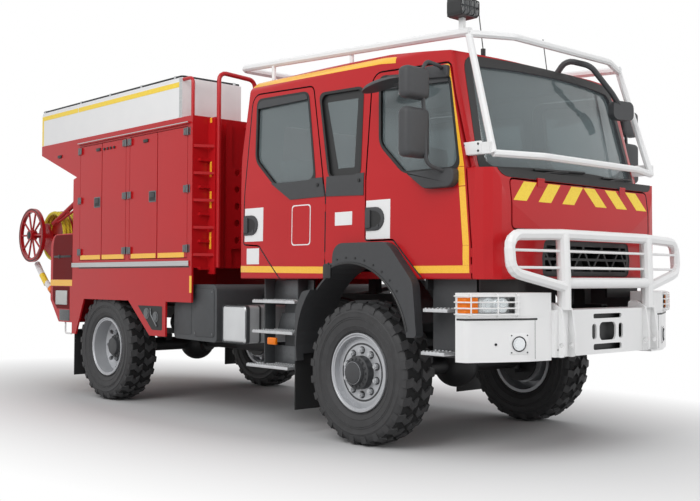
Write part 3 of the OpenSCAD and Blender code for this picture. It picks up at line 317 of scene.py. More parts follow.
for corner, tag, hand, axle_x in CORNERS:
    dress(rim_paint, "wheel_" + tag)
    centre = at(axle_x, hand * WHEEL_Y, AXLE_Z)
    front = axle_x == 0
    seat = 84 if front else -46
    nuts, disc_shade = bmesh.new(), bmesh.new()
    for i in range(NUTS):
        angle = 2 * math.pi * (i + 0.5) / NUTS
        # Washer, dark as painted shade round the nut, then nut and stud end: distances out from the disc, radius,
        # segments
        for bm, low, high, radius, segments in ((disc_shade, -1, 4, 0.029, 16), (nuts, 3, 27, 0.0215, 6),
                                                (nuts, 26, 36, 0.012, 12)):
            rod(bm, round_axle(centre, NUT_CIRCLE, angle, hand * (seat + low)),
                round_axle(centre, NUT_CIRCLE, angle, hand * (seat + high)), radius, segments)
    if front:
        # Dark ring on the front discs: painted shade of the vent gap between disc and rim.
        turned(disc_shade, [(207, 80), (207, 85.5), (221, 85.5), (221, 80), (207, 80)], centre, hand, 64)
    close_up(disc_shade)
    piece("wheel_nuts_" + corner, nuts, zinc, "wheel_" + corner)
    piece("painted_disc_shade_" + corner, disc_shade, hub_iron, "wheel_" + corner)
    bm = bmesh.new()
    if front:
        turned(bm, [(0, 196), (60, 195), (80, 190), (88, 178), (92, 154), (112, 151), (126, 144), (126, 82)],
               centre, hand)
    else:
        turned(bm, [(0, 70), (70, 69), (86, 64), (92, 34), (110, 30), (118, 24), (118, -52)], centre, hand)
    studs, circle, height = (16, 106, 152) if front else (12, 103, 31)
    close_up(bm)
    for i in range(studs):
        angle = 2 * math.pi * i / studs
        rod(bm, round_axle(centre, circle, angle, hand * (height - 6)),
            round_axle(centre, circle, angle, hand * (height + 8)), 0.009, 6)
    piece("hub_cap_" + corner, bm, hub_iron, "wheel_" + corner)
    # Raised bead round the rim's edge.
    bm = bmesh.new()
    turned(bm, [(296, 118), (299, 126), (296, 133), (288, 134), (281, 128), (276, 112)], centre, hand, 72)
    close_up(bm)
    piece("rim_bead_" + corner, bm, rim_paint, "wheel_" + corner)

# Tyres: off-road radials, moulded black rubber. Tall staggered shoulder lugs, two rows of interlocking centre blocks,
# and a sidewall with raised rings. The rubber is matt, greyed by dust in random patches; the floors of the grooves are
# darker, which is painted shade.
TYRE_R, CASING_LOW, LUGS = 545.0, 512, 24
rubber, tree, place = finish("moulded_black_tyre_rubber")
dust = add(tree, "ShaderNodeTexNoise", {"Vector": place, "Scale": per_mm(70), "Detail": 5.0, "Roughness": 0.65})
tone = add(tree, "ShaderNodeMix", {0: dust.outputs[0], 6: linear("#29292A"), 7: linear("#414142")}, data_type="RGBA")
pits = add(tree, "ShaderNodeTexNoise", {"Vector": place, "Scale": per_mm(5), "Detail": 2.0})
skin = add(tree, "ShaderNodeBump", {"Height": pits.outputs[0], "Strength": 0.35, "Distance": 0.0008})
shader = add(tree, "ShaderNodeBsdfPrincipled", {"Base Color": tone.outputs[2], "Roughness": 0.62,
                                                "Specular IOR Level": 0.45, "Normal": skin.outputs[0]})
add(tree, "ShaderNodeOutputMaterial", {"Surface": shader.outputs[0]})

groove_shade_rubber = sprayed("groove_floor_painted_shade", "#0C0C0D", "#141415", 0.9, 60, 5, 0.2)

# Casing from the bead over one sidewall: radius, half width
CASING = [(290, 104), (298, 110), (306, 118), (312, 119), (318, 128), (345, 141), (352, 145), (356, 143), (395, 150),
          (402, 151), (405, 155), (408, 152), (416, 152), (419, 156), (422, 153), (432, 154), (450, 154),
          (458, 157), (464, 156), (470, 152), (488, 151), (508, 143), (520, 130), (524, 110), (525, 60), (525, 0)]
# Lug blocks of one half of the tread: inner and outer edge across, width along as part of the pitch, shift, and slant
BLOCKS = [(84, 143, 0.52, 0.0, 0.10), (44, 92, 0.44, 0.30, -0.22), (6, 50, 0.50, 0.06, 0.26)]


def lug(bm, centre, half, inner, outer, angle, width, slant):
    """One tread block: an eight-cornered bar on the casing, its outer face chamfered."""
    corners = []
    for radius, shrink in ((CASING_LOW, 1.0), (TYRE_R, 0.84)):
        for across, lead in ((inner, 0.0), (outer, slant)):
            for edge in (-1, 1):
                turn = angle + lead + edge * width * shrink / 2
                drop = 18 if across > 140 and radius == TYRE_R else 0
                spread = across - (3 if across == outer else -3) * (1 - shrink) * 6
                corners.append(bm.verts.new(round_axle(centre, radius - drop, turn, half * spread)))
    bmesh.ops.convex_hull(bm, input=corners)


for corner, tag, hand, axle_x in CORNERS:
    centre = at(axle_x, hand * WHEEL_Y, AXLE_Z)
    bm = bmesh.new()
    turned(bm, CASING + [(r, -w) for r, w in reversed(CASING[:-1])] + CASING[:1], centre, hand, 96)
    close_up(bm)
    pitch = 2 * math.pi / LUGS
    for half in (-1, 1):
        for i in range(LUGS):
            start = pitch * (i + (0.25 if half < 0 else 0.75)) * hand
            for inner, outer, width, shift, slant in BLOCKS:
                lug(bm, centre, half, inner, outer, start + pitch * shift * hand, pitch * width,
                    pitch * slant * hand)
            # Shoulder rib that carries each lug down the sidewall.
            turn = start + pitch * 0.10 * hand
            corners = [bm.verts.new(round_axle(centre, radius, turn + edge * pitch * 0.20, half * across))
                       for radius, across in ((533, 128), (526, 150), (478, 156), (470, 146), (500, 120))
                       for edge in (-1, 1)]
            bmesh.ops.convex_hull(bm, input=corners)
    bmesh.ops.recalc_face_normals(bm, faces=bm.faces)
    piece("off_road_tyre_" + corner, bm, rubber, "wheel_" + corner, "tyre_" + tag, crease=28)
    # Floor of the grooves between the blocks, darker than the rubber of the blocks: painted shade in the grooves.
    bm = bmesh.new()
    turned(bm, [(512, -136), (526, -124), (526.5, 0), (526, 124), (512, 136), (508, 0), (512, -136)], centre, hand, 96)
    close_up(bm)
    piece("tread_grooves_" + corner, bm, groove_shade_rubber, "wheel_" + corner)

# Cab: pressed steel shell and doors in fire-engine red, two-pack enamel under clear lacquer. Inside it is lined with
# grey moulded trim; the same panels carry both, so the finish follows which way a face looks from the cab's middle.
CAB_MIDDLE = (FRONT_AXLE - 0.10, 0.0, 2.10)
# Window band in metres: sill, top, rear end, and where the raked front pillar's line meets the ground
SILL, PANE_TOP, PANE_REAR, PILLAR_FOOT = 2.0, 2.80, FRONT_AXLE - 1.40, FRONT_AXLE + 1.525
SCREEN_RAKE = 0.2474
cab_enamel, tree, place = finish("red_two_pack_enamel_on_cab")
from_middle = add(tree, "ShaderNodeVectorMath", {0: place, 1: CAB_MIDDLE}, operation="SUBTRACT")
facing_out = add(tree, "ShaderNodeVectorMath", {0: from_middle.outputs[0],
                                                1: add(tree, "ShaderNodeNewGeometry").outputs["Normal"]},
                 operation="DOT_PRODUCT")
lining = add(tree, "ShaderNodeMath", {0: facing_out.outputs["Value"], 1: 0.02}, operation="LESS_THAN")
clouds = add(tree, "ShaderNodeTexNoise", {"Vector": place, "Scale": per_mm(450), "Detail": 2.0})
paint = add(tree, "ShaderNodeMix", {0: clouds.outputs[0], 6: linear("#B5151B"), 7: linear("#BE1A20")}, data_type="RGBA")
inside = add(tree, "ShaderNodeMix", {0: lining.outputs[0], 6: paint.outputs[2], 7: linear("#54565A")}, data_type="RGBA")
# The edges round the window openings are covered by black rubber: they face along the flank, above the sill line.
normal = add(tree, "ShaderNodeSeparateXYZ", {0: add(tree, "ShaderNodeNewGeometry").outputs["Normal"]})
spot = add(tree, "ShaderNodeSeparateXYZ", {0: place})
sideways = add(tree, "ShaderNodeMath", {0: add(tree, "ShaderNodeMath", {0: normal.outputs["Y"]},
                                               operation="ABSOLUTE").outputs[0], 1: 0.4}, operation="LESS_THAN")
raked = add(tree, "ShaderNodeMath", {0: spot.outputs["Z"], 1: SCREEN_RAKE, 2: spot.outputs["X"]},
            operation="MULTIPLY_ADD")
edge = sideways
for value, limit, test in ((spot.outputs["Z"], SILL, "GREATER_THAN"), (spot.outputs["Z"], PANE_TOP, "LESS_THAN"),
                           (spot.outputs["X"], PANE_REAR, "GREATER_THAN"),
                           (raked.outputs[0], PILLAR_FOOT, "LESS_THAN")):
    passed = add(tree, "ShaderNodeMath", {0: value, 1: limit}, operation=test)
    edge = add(tree, "ShaderNodeMath", {0: edge.outputs[0], 1: passed.outputs[0]}, operation="MULTIPLY")
inside = add(tree, "ShaderNodeMix", {0: edge.outputs[0], 6: inside.outputs[2], 7: linear("#141415")}, data_type="RGBA")
dull = add(tree, "ShaderNodeMapRange", {"Value": lining.outputs[0], "To Min": 0.3, "To Max": 0.7})
peel = add(tree, "ShaderNodeTexNoise", {"Vector": place, "Scale": per_mm(6), "Detail": 1.0})
relief = add(tree, "ShaderNodeBump", {"Height": peel.outputs[0], "Strength": 0.03, "Distance": 0.0006})
shader = add(tree, "ShaderNodeBsdfPrincipled", {"Base Color": inside.outputs[2], "Roughness": dull.outputs[0],
                                                "Normal": relief.outputs[0], "Specular IOR Level": 0.25,
                                                "Coat Weight": 0.12, "Coat Roughness": 0.05})
add(tree, "ShaderNodeOutputMaterial", {"Surface": shader.outputs[0]})
dress(cab_enamel, "cab_body", "front_lid", "door_fr", "door_fl", "door_rr", "door_rl")
red_enamel = sprayed("red_two_pack_enamel", "#B5151B", "#BE1A20", 0.3, 450, 6, 0.03, coat=0.12, gloss=0.25)
white_coat = sprayed("white_powder_coat", "#E6E7E7", "#EEEEED", 0.38, 220, 2.5, 0.12)
moulded = sprayed("grained_dark_polypropylene", "#343537", "#3F4042", 0.58, 40, 1.6, 0.35)
black_plastic = sprayed("black_moulded_plastic", "#151617", "#1F2021", 0.45, 40, 2, 0.2)
seal_rubber = sprayed("black_extruded_seal_rubber", "#101011", "#1A1A1B", 0.55, 30, 2, 0.2)
dress(moulded, "cab_trim", "dashboard")
dress(black_plastic, "grille", "work_lamp")

# Window glass: tempered, tinted grey-green, 6 mm, bonded into its seals. A light haze of dust veils the dim cabin
# behind it.
glass = figured("tinted_tempered_glass", "ShaderNodeTexNoise", {"Scale": per_mm(700), "Detail": 2.0},
                "#8F9DA0", "#A3AFB1", {"Roughness": 0.02, "IOR": 1.45, "Transmission Weight": 0.68,
                                       "Specular IOR Level": 0.6})
dress(glass, "cab_glass", "glass_fr", "glass_fl", "glass_rr", "glass_rl")

# Reflective stripes, seals and trim that lie on the panels: prismatic yellow film and black mouldings, cut to
# an outline and laid on the panel's own curve.


def fence(points, hand=RIGHT):
    """Cutting planes of a convex outline in X and Z, given clockwise as seen from the truck's right."""
    cuts = []
    for (x0, z0), (x1, z1) in zip(points, points[1:] + points[:1]):
        cuts.append((at(x0, 0, z0), Vector((z0 - z1, 0, x1 - x0))))
    return cuts + [(at(0, hand * 400, 0), Vector((0, -hand, 0)))]


FACING = 0.45


def overlay(name, node, cuts, facing, material, body, proud=1.0):
    """Copy of a panel's faces inside the cutting planes, as a thin sheet on top of the panel."""
    bm = bmesh.new()
    bm.from_mesh(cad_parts[node].data)
    bmesh.ops.remove_doubles(bm, verts=bm.verts, dist=1e-5)
    bmesh.ops.delete(bm, geom=[f for f in bm.faces if f.normal.dot(facing) < FACING], context="FACES")
    for point, away in cuts:
        bmesh.ops.bisect_plane(bm, geom=bm.verts[:] + bm.edges[:] + bm.faces[:], dist=1e-6, plane_co=point,
                               plane_no=away, clear_outer=True)
    bm.normal_update()
    for vert in bm.verts:
        vert.co += vert.normal * proud / 1000
    bmesh.ops.solidify(bm, geom=bm.faces[:], thickness=proud * 0.0009)
    bmesh.ops.recalc_face_normals(bm, faces=bm.faces)
    piece(name, bm, material, body)


def on_flank(name, node, body, line, material, tilt=0.0, proud=1.0):
    """Film or moulding on both flanks, with its outline in X and Z, on the cab or on the doors."""
    for hand, word, letter in HANDS:
        fixed = body == "truck"
        overlay(name + "_" + word, node if fixed else node + letter, fence(line, hand), Vector((0, hand, tilt)),
                material, body if fixed else body + "_" + word, proud)


# Prism cells of about 3 mm, drawn at 12 mm so that they show.
stripe_film = figured("yellow_prismatic_reflective_film", "ShaderNodeTexVoronoi", {"Scale": per_mm(12)},
                      "#FFC53A", "#F5B828", {"Roughness": 0.32, "Coat Weight": 0.3, "Coat Roughness": 0.1})

# Stripes of one flank: name, node, body, outline in X and Z
DOOR_FRONT, DOOR_REAR = "door_f", "door_r"
FLANK_STRIPES = [
    ("door_foot_stripe", DOOR_FRONT, "door_front", [(500, 1292), (500, 1344), (1072, 1344), (1072, 1292)]),
    ("door_edge_stripe_low", DOOR_FRONT, "door_front", [(1016, 1345), (1016, 1480), (1072, 1480), (1072, 1345)]),
    ("door_edge_stripe_mid", DOOR_FRONT, "door_front", [(1016, 1482), (979, 1886), (1035, 1886), (1072, 1482)]),
    ("door_edge_stripe_high", DOOR_FRONT, "door_front", [(978, 1892), (966, 2022), (1022, 2022), (1034, 1892)]),
    ("door_pillar_stripe", DOOR_FRONT, "door_front", [(966, 2026), (784, 2770), (840, 2770), (1022, 2026)]),
    ("rear_door_foot_stripe", DOOR_REAR, "door_rear", [(-1040, 1298), (-1090, 1352), (-424, 1346), (-424, 1292)]),
    ("pillar_foot_stripe", "cab_body", "truck", [(-404, 1292), (-404, 1346), (-340, 1346), (-340, 1292)]),
    ("cab_corner_stripe", "cab_body", "truck", [(-1550, 1304), (-1550, 1360), (-1100, 1354), (-1030, 1300)]),
    ("roof_edge_stripe_rear", "cab_body", "truck", [(-1545, 2925), (-1545, 2975), (150, 2925), (150, 2875)]),
    ("roof_edge_stripe_front", "cab_body", "truck", [(150, 2875), (150, 2925), (300, 2906), (300, 2858)]),
]
for stripe, node, body, line in FLANK_STRIPES:
    on_flank(stripe, node, body, line, stripe_film, 0.25)

# Window seals: black extruded rubber round each pane, on the door frames and on the pillar between the doors; dark
# mouldings under the rear panes, a printed black border on the fixed pane, and rain visors along the tops.
SEAL, SEAL_BEND = 22, 75
PANES = [
    ("front_pane_seal", DOOR_FRONT, "door_front", [(452, 2034), (190, 2265), (152, 2765), (832, 2690), (965, 2029)]),
    ("rear_pane_seal", DOOR_REAR, "door_rear",
     [(-1060, 2047), (-1335, 2272), (-1365, 2785), (-708, 2765), (-557, 2046)]),
    ("mid_pane_seal", "cab_body", "truck", [(-367, 2058), (-535, 2727), (-50, 2713), (-33, 2046)]),
]
CLEAR_MID = [(-294, 2112), (-473, 2662), (-109, 2652), (-109, 2110)]


def widened(points, by):
    """Convex outline moved outwards from its middle."""
    out = []
    for a, b, c in zip(points[-1:] + points[:-1], points, points[1:] + points[:1]):
        one = (Vector(b) - Vector(a)).normalized()
        two = (Vector(c) - Vector(b)).normalized()
        away = (Vector((-one.y, one.x)) + Vector((-two.y, two.x))).normalized()
        out.append(tuple(Vector(b) + away * by / max(0.35, away.dot(Vector((-one.y, one.x))))))
    return out


def eased(points, bend):
    """Closed outline with its corners rounded, in millimetres."""
    ring = [Vector((x, 0, z)) for x, z in points]
    out = []
    for a, b, c in zip(ring[-1:] + ring[:-1], ring, ring[1:] + ring[:1]):
        out += rounded([a, b, c], bend)[1:-1]
    return [(point.x, point.z) for point in out]


def slab(bm, points, near, far, edge=0.0, steps=2):
    """Plate of an outline in X and Z between two distances across, its edges rounded."""
    face = bm.faces.new([bm.verts.new(at(x, near, z)) for x, z in points])
    grown = bmesh.ops.extrude_face_region(bm, geom=[face])["geom"]
    moved = [v for v in grown if isinstance(v, bmesh.types.BMVert)]
    bmesh.ops.translate(bm, vec=(0, (far - near) / 1000, 0), verts=moved)
    verts = set(moved) | set(face.verts)
    bmesh.ops.recalc_face_normals(bm, faces=list({f for v in verts for f in v.link_faces}))
    if edge:
        rim = [e for e in {e for v in moved for e in v.link_edges} if all(v in moved for v in e.verts)]
        bmesh.ops.bevel(bm, geom=rim, offset=edge, offset_type="OFFSET", affect="EDGES", segments=steps, profile=0.5,
                        material=-1)


def fitting(name, hand, material, boxes=(), bars=(), plates=(), tubes=(), body="truck"):
    """Piece of boxes, round bars, plates and bent tubes in millimetres, mirrored to one hand."""
    bm = bmesh.new()
    for x0, y0, z0, x1, y1, z1, *edge in boxes:
        block(bm, at(x0, hand * y0, z0), at(x1, hand * y1, z1), *edge)
    for x0, y0, z0, x1, y1, z1, *form in bars:
        rod(bm, at(x0, hand * y0, z0), at(x1, hand * y1, z1), *form)
    for line, near, far, *edge in plates:
        slab(bm, line, hand * near, hand * far, *edge)
    for line, bend, *form in tubes:
        path_tube(bm, rounded([at(x, hand * y, z) for x, y, z in line], bend), *form)
    return piece(name, bm, material, body)


for seal, node, body, line in PANES:
    on_flank(seal, node, body, eased(widened(line, SEAL), SEAL_BEND), seal_rubber, 0.2, 3.0)
# Mouldings and visors: name, node, body, height over the panel, outline in X and Z
MOULDINGS = [
    ("sill_moulding_rear", DOOR_REAR, "door_rear", 6.0,
     [(-851, 1898), (-1112, 2050), (-1085, 2056), (-424, 2056), (-424, 1902)]),
    ("sill_moulding_mid", "cab_body", "truck", 6.0, [(-404, 1900), (-404, 2056), (26, 2056), (26, 1884)]),
    ("rain_visor_front", "glass_f", "door_front", 28.0, [(150, 2672), (145, 2800), (842, 2720), (852, 2640)]),
    ("rain_visor_rear", "glass_r", "door_rear", 28.0, [(-1372, 2716), (-1372, 2800), (-690, 2790), (-690, 2716)])]
for name, node, body, proud, line in MOULDINGS:
    on_flank(name, node, body, line, moulded, 0.2, proud)
outer = widened(PANES[2][3], 4)
for number, line in enumerate(zip(outer, outer[1:] + outer[:1], CLEAR_MID[1:] + CLEAR_MID[:1], CLEAR_MID)):
    on_flank("printed_border_%d" % (number + 1), "cab_glass", "truck", list(line), black_plastic,
             0.2, 1.5)
# Round buttons of the mouldings.
for hand, word, letter in HANDS:
    for name, body, x, z in (("rear", "door_rear_" + word, -505, 1998), ("mid", "truck", -22, 2002)):
        fitting("moulding_button_%s_%s" % (name, word), hand, black_plastic,
                bars=[(x, 1080, z, x, 1097, z, 0.013, 16)], body=body)

# Windscreen surround: wide black rubber seal and the black cowl under it.
SCREEN_SEAL = [(985, 1950), (-985, 1950), (-925, 2846), (925, 2846)]
seal_line = eased(SCREEN_SEAL, 120)
overlay("windscreen_seal", "cab_body",
        [(at(0, y0, z0), Vector((0, z0 - z1, y1 - y0)))
         for (y0, z0), (y1, z1) in zip(seal_line, seal_line[1:] + seal_line[:1])]
        + [(at(700, 0, 0), Vector((-1, 0, 0)))],
        Vector((1, 0, 0.25)), seal_rubber, "truck", proud=3.0)

# Warning chevrons on the front lid: six slanted bars of fluorescent yellow film, three leaning each way.
chevron_film = figured("fluorescent_yellow_film", "ShaderNodeTexVoronoi", {"Scale": per_mm(12)},
                       "#FFDF45", "#F4CF30", {"Roughness": 0.35})
CHEVRON_LOW, CHEVRON_HIGH, CHEVRON_LEAN, CHEVRON_WIDE = 1793, 1929, 136, 146
# Middle of each bar at its lower edge, from the truck's right to its left, and which way it leans
CHEVRONS = [(-775, 1), (-493, 1), (-211, 1), (211, -1), (493, -1), (775, -1)]
for number, (foot, lean) in enumerate(CHEVRONS):
    slope = lean * CHEVRON_LEAN / (CHEVRON_HIGH - CHEVRON_LOW)
    overlay("lid_chevron_%d" % (number + 1), "front_lid",
            [(at(0, 0, CHEVRON_LOW), Vector((0, 0, -1))), (at(0, 0, CHEVRON_HIGH), Vector((0, 0, 1))),
             (at(1200, 0, 0), Vector((-1, 0, 0))),
             (at(0, foot - CHEVRON_WIDE / 2, CHEVRON_LOW), Vector((0, -1, slope))),
             (at(0, foot + CHEVRON_WIDE / 2, CHEVRON_LOW), Vector((0, 1, -slope)))],
            Vector((1, 0, 0.1)), chevron_film, "front_lid")

# Wipers: two black arms lying along the lower glass, each with a blade, a link bar and a spindle cap.
# Middle of the lower edge in X and Z, radius of the bow, and the rise for each length of slope
SCREEN_LOW, SCREEN_BOW, SCREEN_RISE = (1178, 2010), 4500, 0.97


def on_screen(y, up, proud):
    """Point in front of the windscreen, so far up its slope, in metres."""
    x = SCREEN_LOW[0] - y * y / (2 * SCREEN_BOW) - up * SCREEN_RAKE * SCREEN_RISE + proud
    return at(x, y, SCREEN_LOW[1] + up * SCREEN_RISE)


bm = bmesh.new()
for root, tip in ((-560, 120), (300, 900)):
    span = tip - root
    rod(bm, on_screen(root, -36, 6), on_screen(root, -30, 40), 0.022, 16)
    path_tube(bm, [on_screen(root, -32, 34), on_screen(root + span * 0.3, 6, 34),
                   on_screen(root + span * 0.62, 34, 26)], 0.009, 8)
    path_tube(bm, [on_screen(root + 60, -32, 30), on_screen(root + span * 0.36, 0, 30),
                   on_screen(root + span * 0.66, 28, 24)], 0.006, 8)
    path_tube(bm, [on_screen(root + span * t, 20 + 26 * t, 12) for t in (0.12, 0.3, 0.5, 0.7, 0.9, 1.0)], 0.009, 8)
piece("wiper_arms", bm, black_plastic, "truck")
fitting("cowl_vents", LEFT, moulded,
        [(1196, y0, 1985, 1214, y1, 2004, 0.004) for y0, y1 in ((-830, -300), (-270, 270), (300, 830))])

# Door handles: dark moulded pull cups on white plates at the doors' rear edges, straight behind and round ahead, with a
# grip bar across the hollow and a lock barrel. The hollow is a flat black plate on the cup, painted shade.


def cup(x0, x1, z0, z1):
    """Outline of a pull cup: straight behind, round ahead."""
    return [(x0, z0), (x0, z1)] + [
        (x1 - 90 + 90 * math.sin(t), (z0 + z1) / 2 + (z1 - z0) / 2 * math.cos(t))
        for t in (math.pi * k / 10 for k in range(11))]


def oblong(x0, x1, z0, z1, inset=0):
    """Outline of a rectangle, made smaller by an inset."""
    return [(x0 + inset, z0 + inset), (x0 + inset, z1 - inset), (x1 - inset, z1 - inset), (x1 - inset, z0 + inset)]


# Handles: name, body, node, plate X and Z, cup X and Z
HANDLES = [("front_handle", "door_front", DOOR_FRONT, 56, 312, 1548, 1840, 56, 252, 1611, 1788),
           ("rear_handle", "door_rear", DOOR_REAR, -1470, -1212, 1567, 1854, -1470, -1281, 1621, 1792)]
for name, body, node, x0, x1, z0, z1, hx0, hx1, hz0, hz1 in HANDLES:
    on_flank(name + "_plate", node, body, oblong(x0, x1, z0, z1), white_coat, proud=1.2)
    for hand, word, letter in HANDS:
        carrier = body + "_" + word
        fitting(name + "_" + word, hand, moulded, plates=[(cup(hx0, hx1, hz0, hz1), 1084, 1099, 0.006)],
                body=carrier)
        # The cup's hollow is not cut: a flat black plate paints its shade.
        fitting(name + "_painted_hollow_shade_" + word, hand, seal_rubber,
                plates=[(cup(hx0 + 34, hx1 - 26, hz0 + 26, hz1 - 26), 1090, 1099.6)], body=carrier)
        fitting(name + "_grip_" + word, hand, moulded,
                [(hx0 + 8, 1096, hz0 + 18, hx0 + 62, 1112, hz1 - 18, 0.007, 3)],
                [(hx1 - 58, 1096, hz0 + 34, hx1 - 58, 1104, hz0 + 34, 0.012, 16)], body=carrier)

# Blank plates on the flanks: a thin white outline on the rear door, a small plate between the doors and a white
# label at the cab's rear corner, self-adhesive film. All of them are bare.
OUTLINE = (-830, -592, 1520, 1850)
for name, inset, shade, proud in (("outline_plate", 0, white_coat, 1.0), ("outline_field", 9, cab_enamel, 1.5)):
    on_flank(name, DOOR_REAR, "door_rear", eased(oblong(*OUTLINE, inset), 34), shade, proud=proud)
for name, *spread in (("pillar_plate", -298, -101, 1664, 1768), ("corner_label", -1436, -1262, 1372, 1508)):
    on_flank(name, "cab_body", "truck", oblong(*spread), white_coat)

# Mirrors: heated door mirrors in grained black housings on a bent tube over a wedge foot, glass set back in each;
# a kerb mirror hangs from a bracket at the door's upper edge.
mirror_glass, tree, place = finish("silvered_mirror_glass")
smear = add(tree, "ShaderNodeTexNoise", {"Vector": place, "Scale": per_mm(180), "Detail": 3.0})
dulled = add(tree, "ShaderNodeMapRange", {"Value": smear.outputs[0], "To Min": 0.02, "To Max": 0.09})
shader = add(tree, "ShaderNodeBsdfPrincipled", {"Base Color": linear("#C8CCCE"), "Metallic": 1.0,
                                                "Roughness": dulled.outputs[0]})
add(tree, "ShaderNodeOutputMaterial", {"Surface": shader.outputs[0]})
MIRROR_HEADS = [("lower_head", 2082, 2426), ("upper_head", 2486, 2708)]
MIRROR_Y, MIRROR_HALF, MIRROR_BACK, MIRROR_FRONT, ARM_Y = 1335, 118, 735, 846, 1272
MIRROR_FOOT = [(520, 2012), (700, 1886), (936, 1886), (976, 1920), (976, 2014)]
for hand, word, letter in HANDS:
    carrier = "door_front_" + word
    bm = bmesh.new()
    for head, low, high in MIRROR_HEADS:
        block(bm, at(MIRROR_BACK, hand * (MIRROR_Y - MIRROR_HALF), low),
              at(MIRROR_FRONT, hand * (MIRROR_Y + MIRROR_HALF), high), 0.042, 6)
    path_tube(bm, rounded([at(888, hand * 1120, 1990), at(846, hand * ARM_Y, 2040), at(806, hand * ARM_Y, 2690),
                           at(820, hand * (ARM_Y - 30), 2758), at(818, hand * 1110, 2745), at(786, hand * 1050, 2740)],
                          0.05), 0.014, 12)
    slab(bm, eased(MIRROR_FOOT, 34), hand * 1080, hand * 1148, 0.010, 3)
    slab(bm, eased([(640, 2688), (640, 2776), (846, 2758), (846, 2668)], 20), hand * 1010, hand * 1062, 0.008)
    bmesh.ops.recalc_face_normals(bm, faces=bm.faces)
    piece("mirror_housings_" + word, bm, moulded, carrier, "mirror_" + letter)
    for head, low, high in MIRROR_HEADS:
        fitting("mirror_%s_glass_%s" % (head, word), hand, mirror_glass,
                [(MIRROR_BACK - 2, MIRROR_Y - MIRROR_HALF + 26, low + 26,
                  MIRROR_BACK + 3, MIRROR_Y + MIRROR_HALF - 26, high - 26, 0.002)], body=carrier)
    bm = bmesh.new()
    bowl = bmesh.ops.create_uvsphere(bm, u_segments=28, v_segments=16, radius=1.0)["verts"]
    bmesh.ops.scale(bm, vec=(0.245, 0.105, 0.075), verts=bowl)
    bmesh.ops.translate(bm, vec=at(390, hand * 1196, 2634), verts=bowl)
    rim = bmesh.ops.bisect_plane(bm, geom=bm.verts[:] + bm.edges[:] + bm.faces[:], dist=1e-6, plane_co=at(0, 0, 2606),
                                 plane_no=(0.15, 0, -1), clear_outer=True)["geom_cut"]
    bmesh.ops.contextual_create(bm, geom=[e for e in rim if isinstance(e, bmesh.types.BMEdge)])
    slab(bm, eased([(330, 2668), (330, 2742), (560, 2726), (560, 2652)], 24), hand * 1052, hand * 1150, 0.012)
    bmesh.ops.recalc_face_normals(bm, faces=bm.faces)
    piece("kerb_mirror_" + word, bm, moulded, carrier)

# Front bars and bumper: welded steel plate and tube in white powder coat. The bumper's end pieces have a fog lamp in a
# square plate; the gusset plates are bolted on, and a black plate closes the hollow behind the slots.
dress(white_coat, "bumper", "bull_bar", "windscreen_guard", "coaming")
fitting("bumper_backing", LEFT, black_plastic, [(1392, -440, 728, 1398, 440, 1022)])
lamp_glass = figured("clear_polycarbonate_lens", "ShaderNodeTexWave", {"Scale": per_mm(150)}, "#F4F8F9", "#F4F8F9",
                     {"Roughness": 0.03, "IOR": 1.5, "Transmission Weight": 0.9}, (0.25, 0.003), bands_direction="Y")
amber = figured("amber_lamp_lens", "ShaderNodeTexWave", {"Scale": per_mm(40)}, "#F07C0C", "#F07C0C",
                {"Roughness": 0.15, "Specular IOR Level": 0.3}, (0.5, 0.002), bands_direction="Z")
chrome = figured("bright_lamp_reflector", "ShaderNodeTexVoronoi", {"Scale": per_mm(22)}, "#E3E6E8", "#E3E6E8",
                 {"Metallic": 0.85, "Roughness": 0.2}, (0.4, 0.003))
steel_dark = sprayed("black_oxide_bolts", "#2A2B2D", "#3A3B3D", 0.45, 20, 2, 0.1, metal=0.6)

# Front faces of the bumper's end, from the middle outwards: X and distance from the truck's middle
INNER_FACE, END_FACE = ((1420, 640), (1385, 860)), ((1385, 860), (1190, 1262))


def onto_face(bm, face, y, hand):
    """Sets a mesh made at the origin, X outwards and Y along, on a slanted face at a distance from the middle."""
    (x0, y0), (x1, y1) = face
    along = Vector((x1 - x0, y1 - y0)).normalized()
    x = x0 + (x1 - x0) * (y - y0) / (y1 - y0)
    turn = Matrix(((along.y, along.x, 0, 0), (-hand * along.x, hand * along.y, 0, 0), (0, 0, 1, 0), (0, 0, 0, 1)))
    bmesh.ops.transform(bm, matrix=Matrix.Translation(at(x, hand * y, 0)) @ turn, verts=bm.verts)
    bmesh.ops.recalc_face_normals(bm, faces=bm.faces)


def end_fitting(name, hand, material, face, y, boxes=(), bars=()):
    """Piece of boxes and round bars in metres on a slanted face of the bumper's end."""
    bm = bmesh.new()
    for low, high, *edge in boxes:
        block(bm, low, high, *edge)
    for along, z, near, far, *form in bars:
        rod(bm, Vector((near, along, z)), Vector((far, along, z)), *form)
    onto_face(bm, face, y, hand)
    piece(name, bm, material, "truck")


def ribbon(name, hand, material, plan, low, high, thick):
    """Upright strip bent round the bumper's end: plan of X and distance from the middle, thickness inwards."""
    bm = bmesh.new()
    outer = rounded([at(x, hand * y, low) for x, y in plan], 0.03)
    inner = [p - Vector((0.7 * thick, hand * 0.7 * thick, 0)) / 1000 for p in reversed(outer)]
    face = bm.faces.new([bm.verts.new(p) for p in outer + inner])
    grown = bmesh.ops.extrude_face_region(bm, geom=[face])["geom"]
    moved = [v for v in grown if isinstance(v, bmesh.types.BMVert)]
    bmesh.ops.translate(bm, vec=(0, 0, (high - low) / 1000), verts=moved)
    bmesh.ops.recalc_face_normals(bm, faces=bm.faces)
    piece(name, bm, material, "truck")


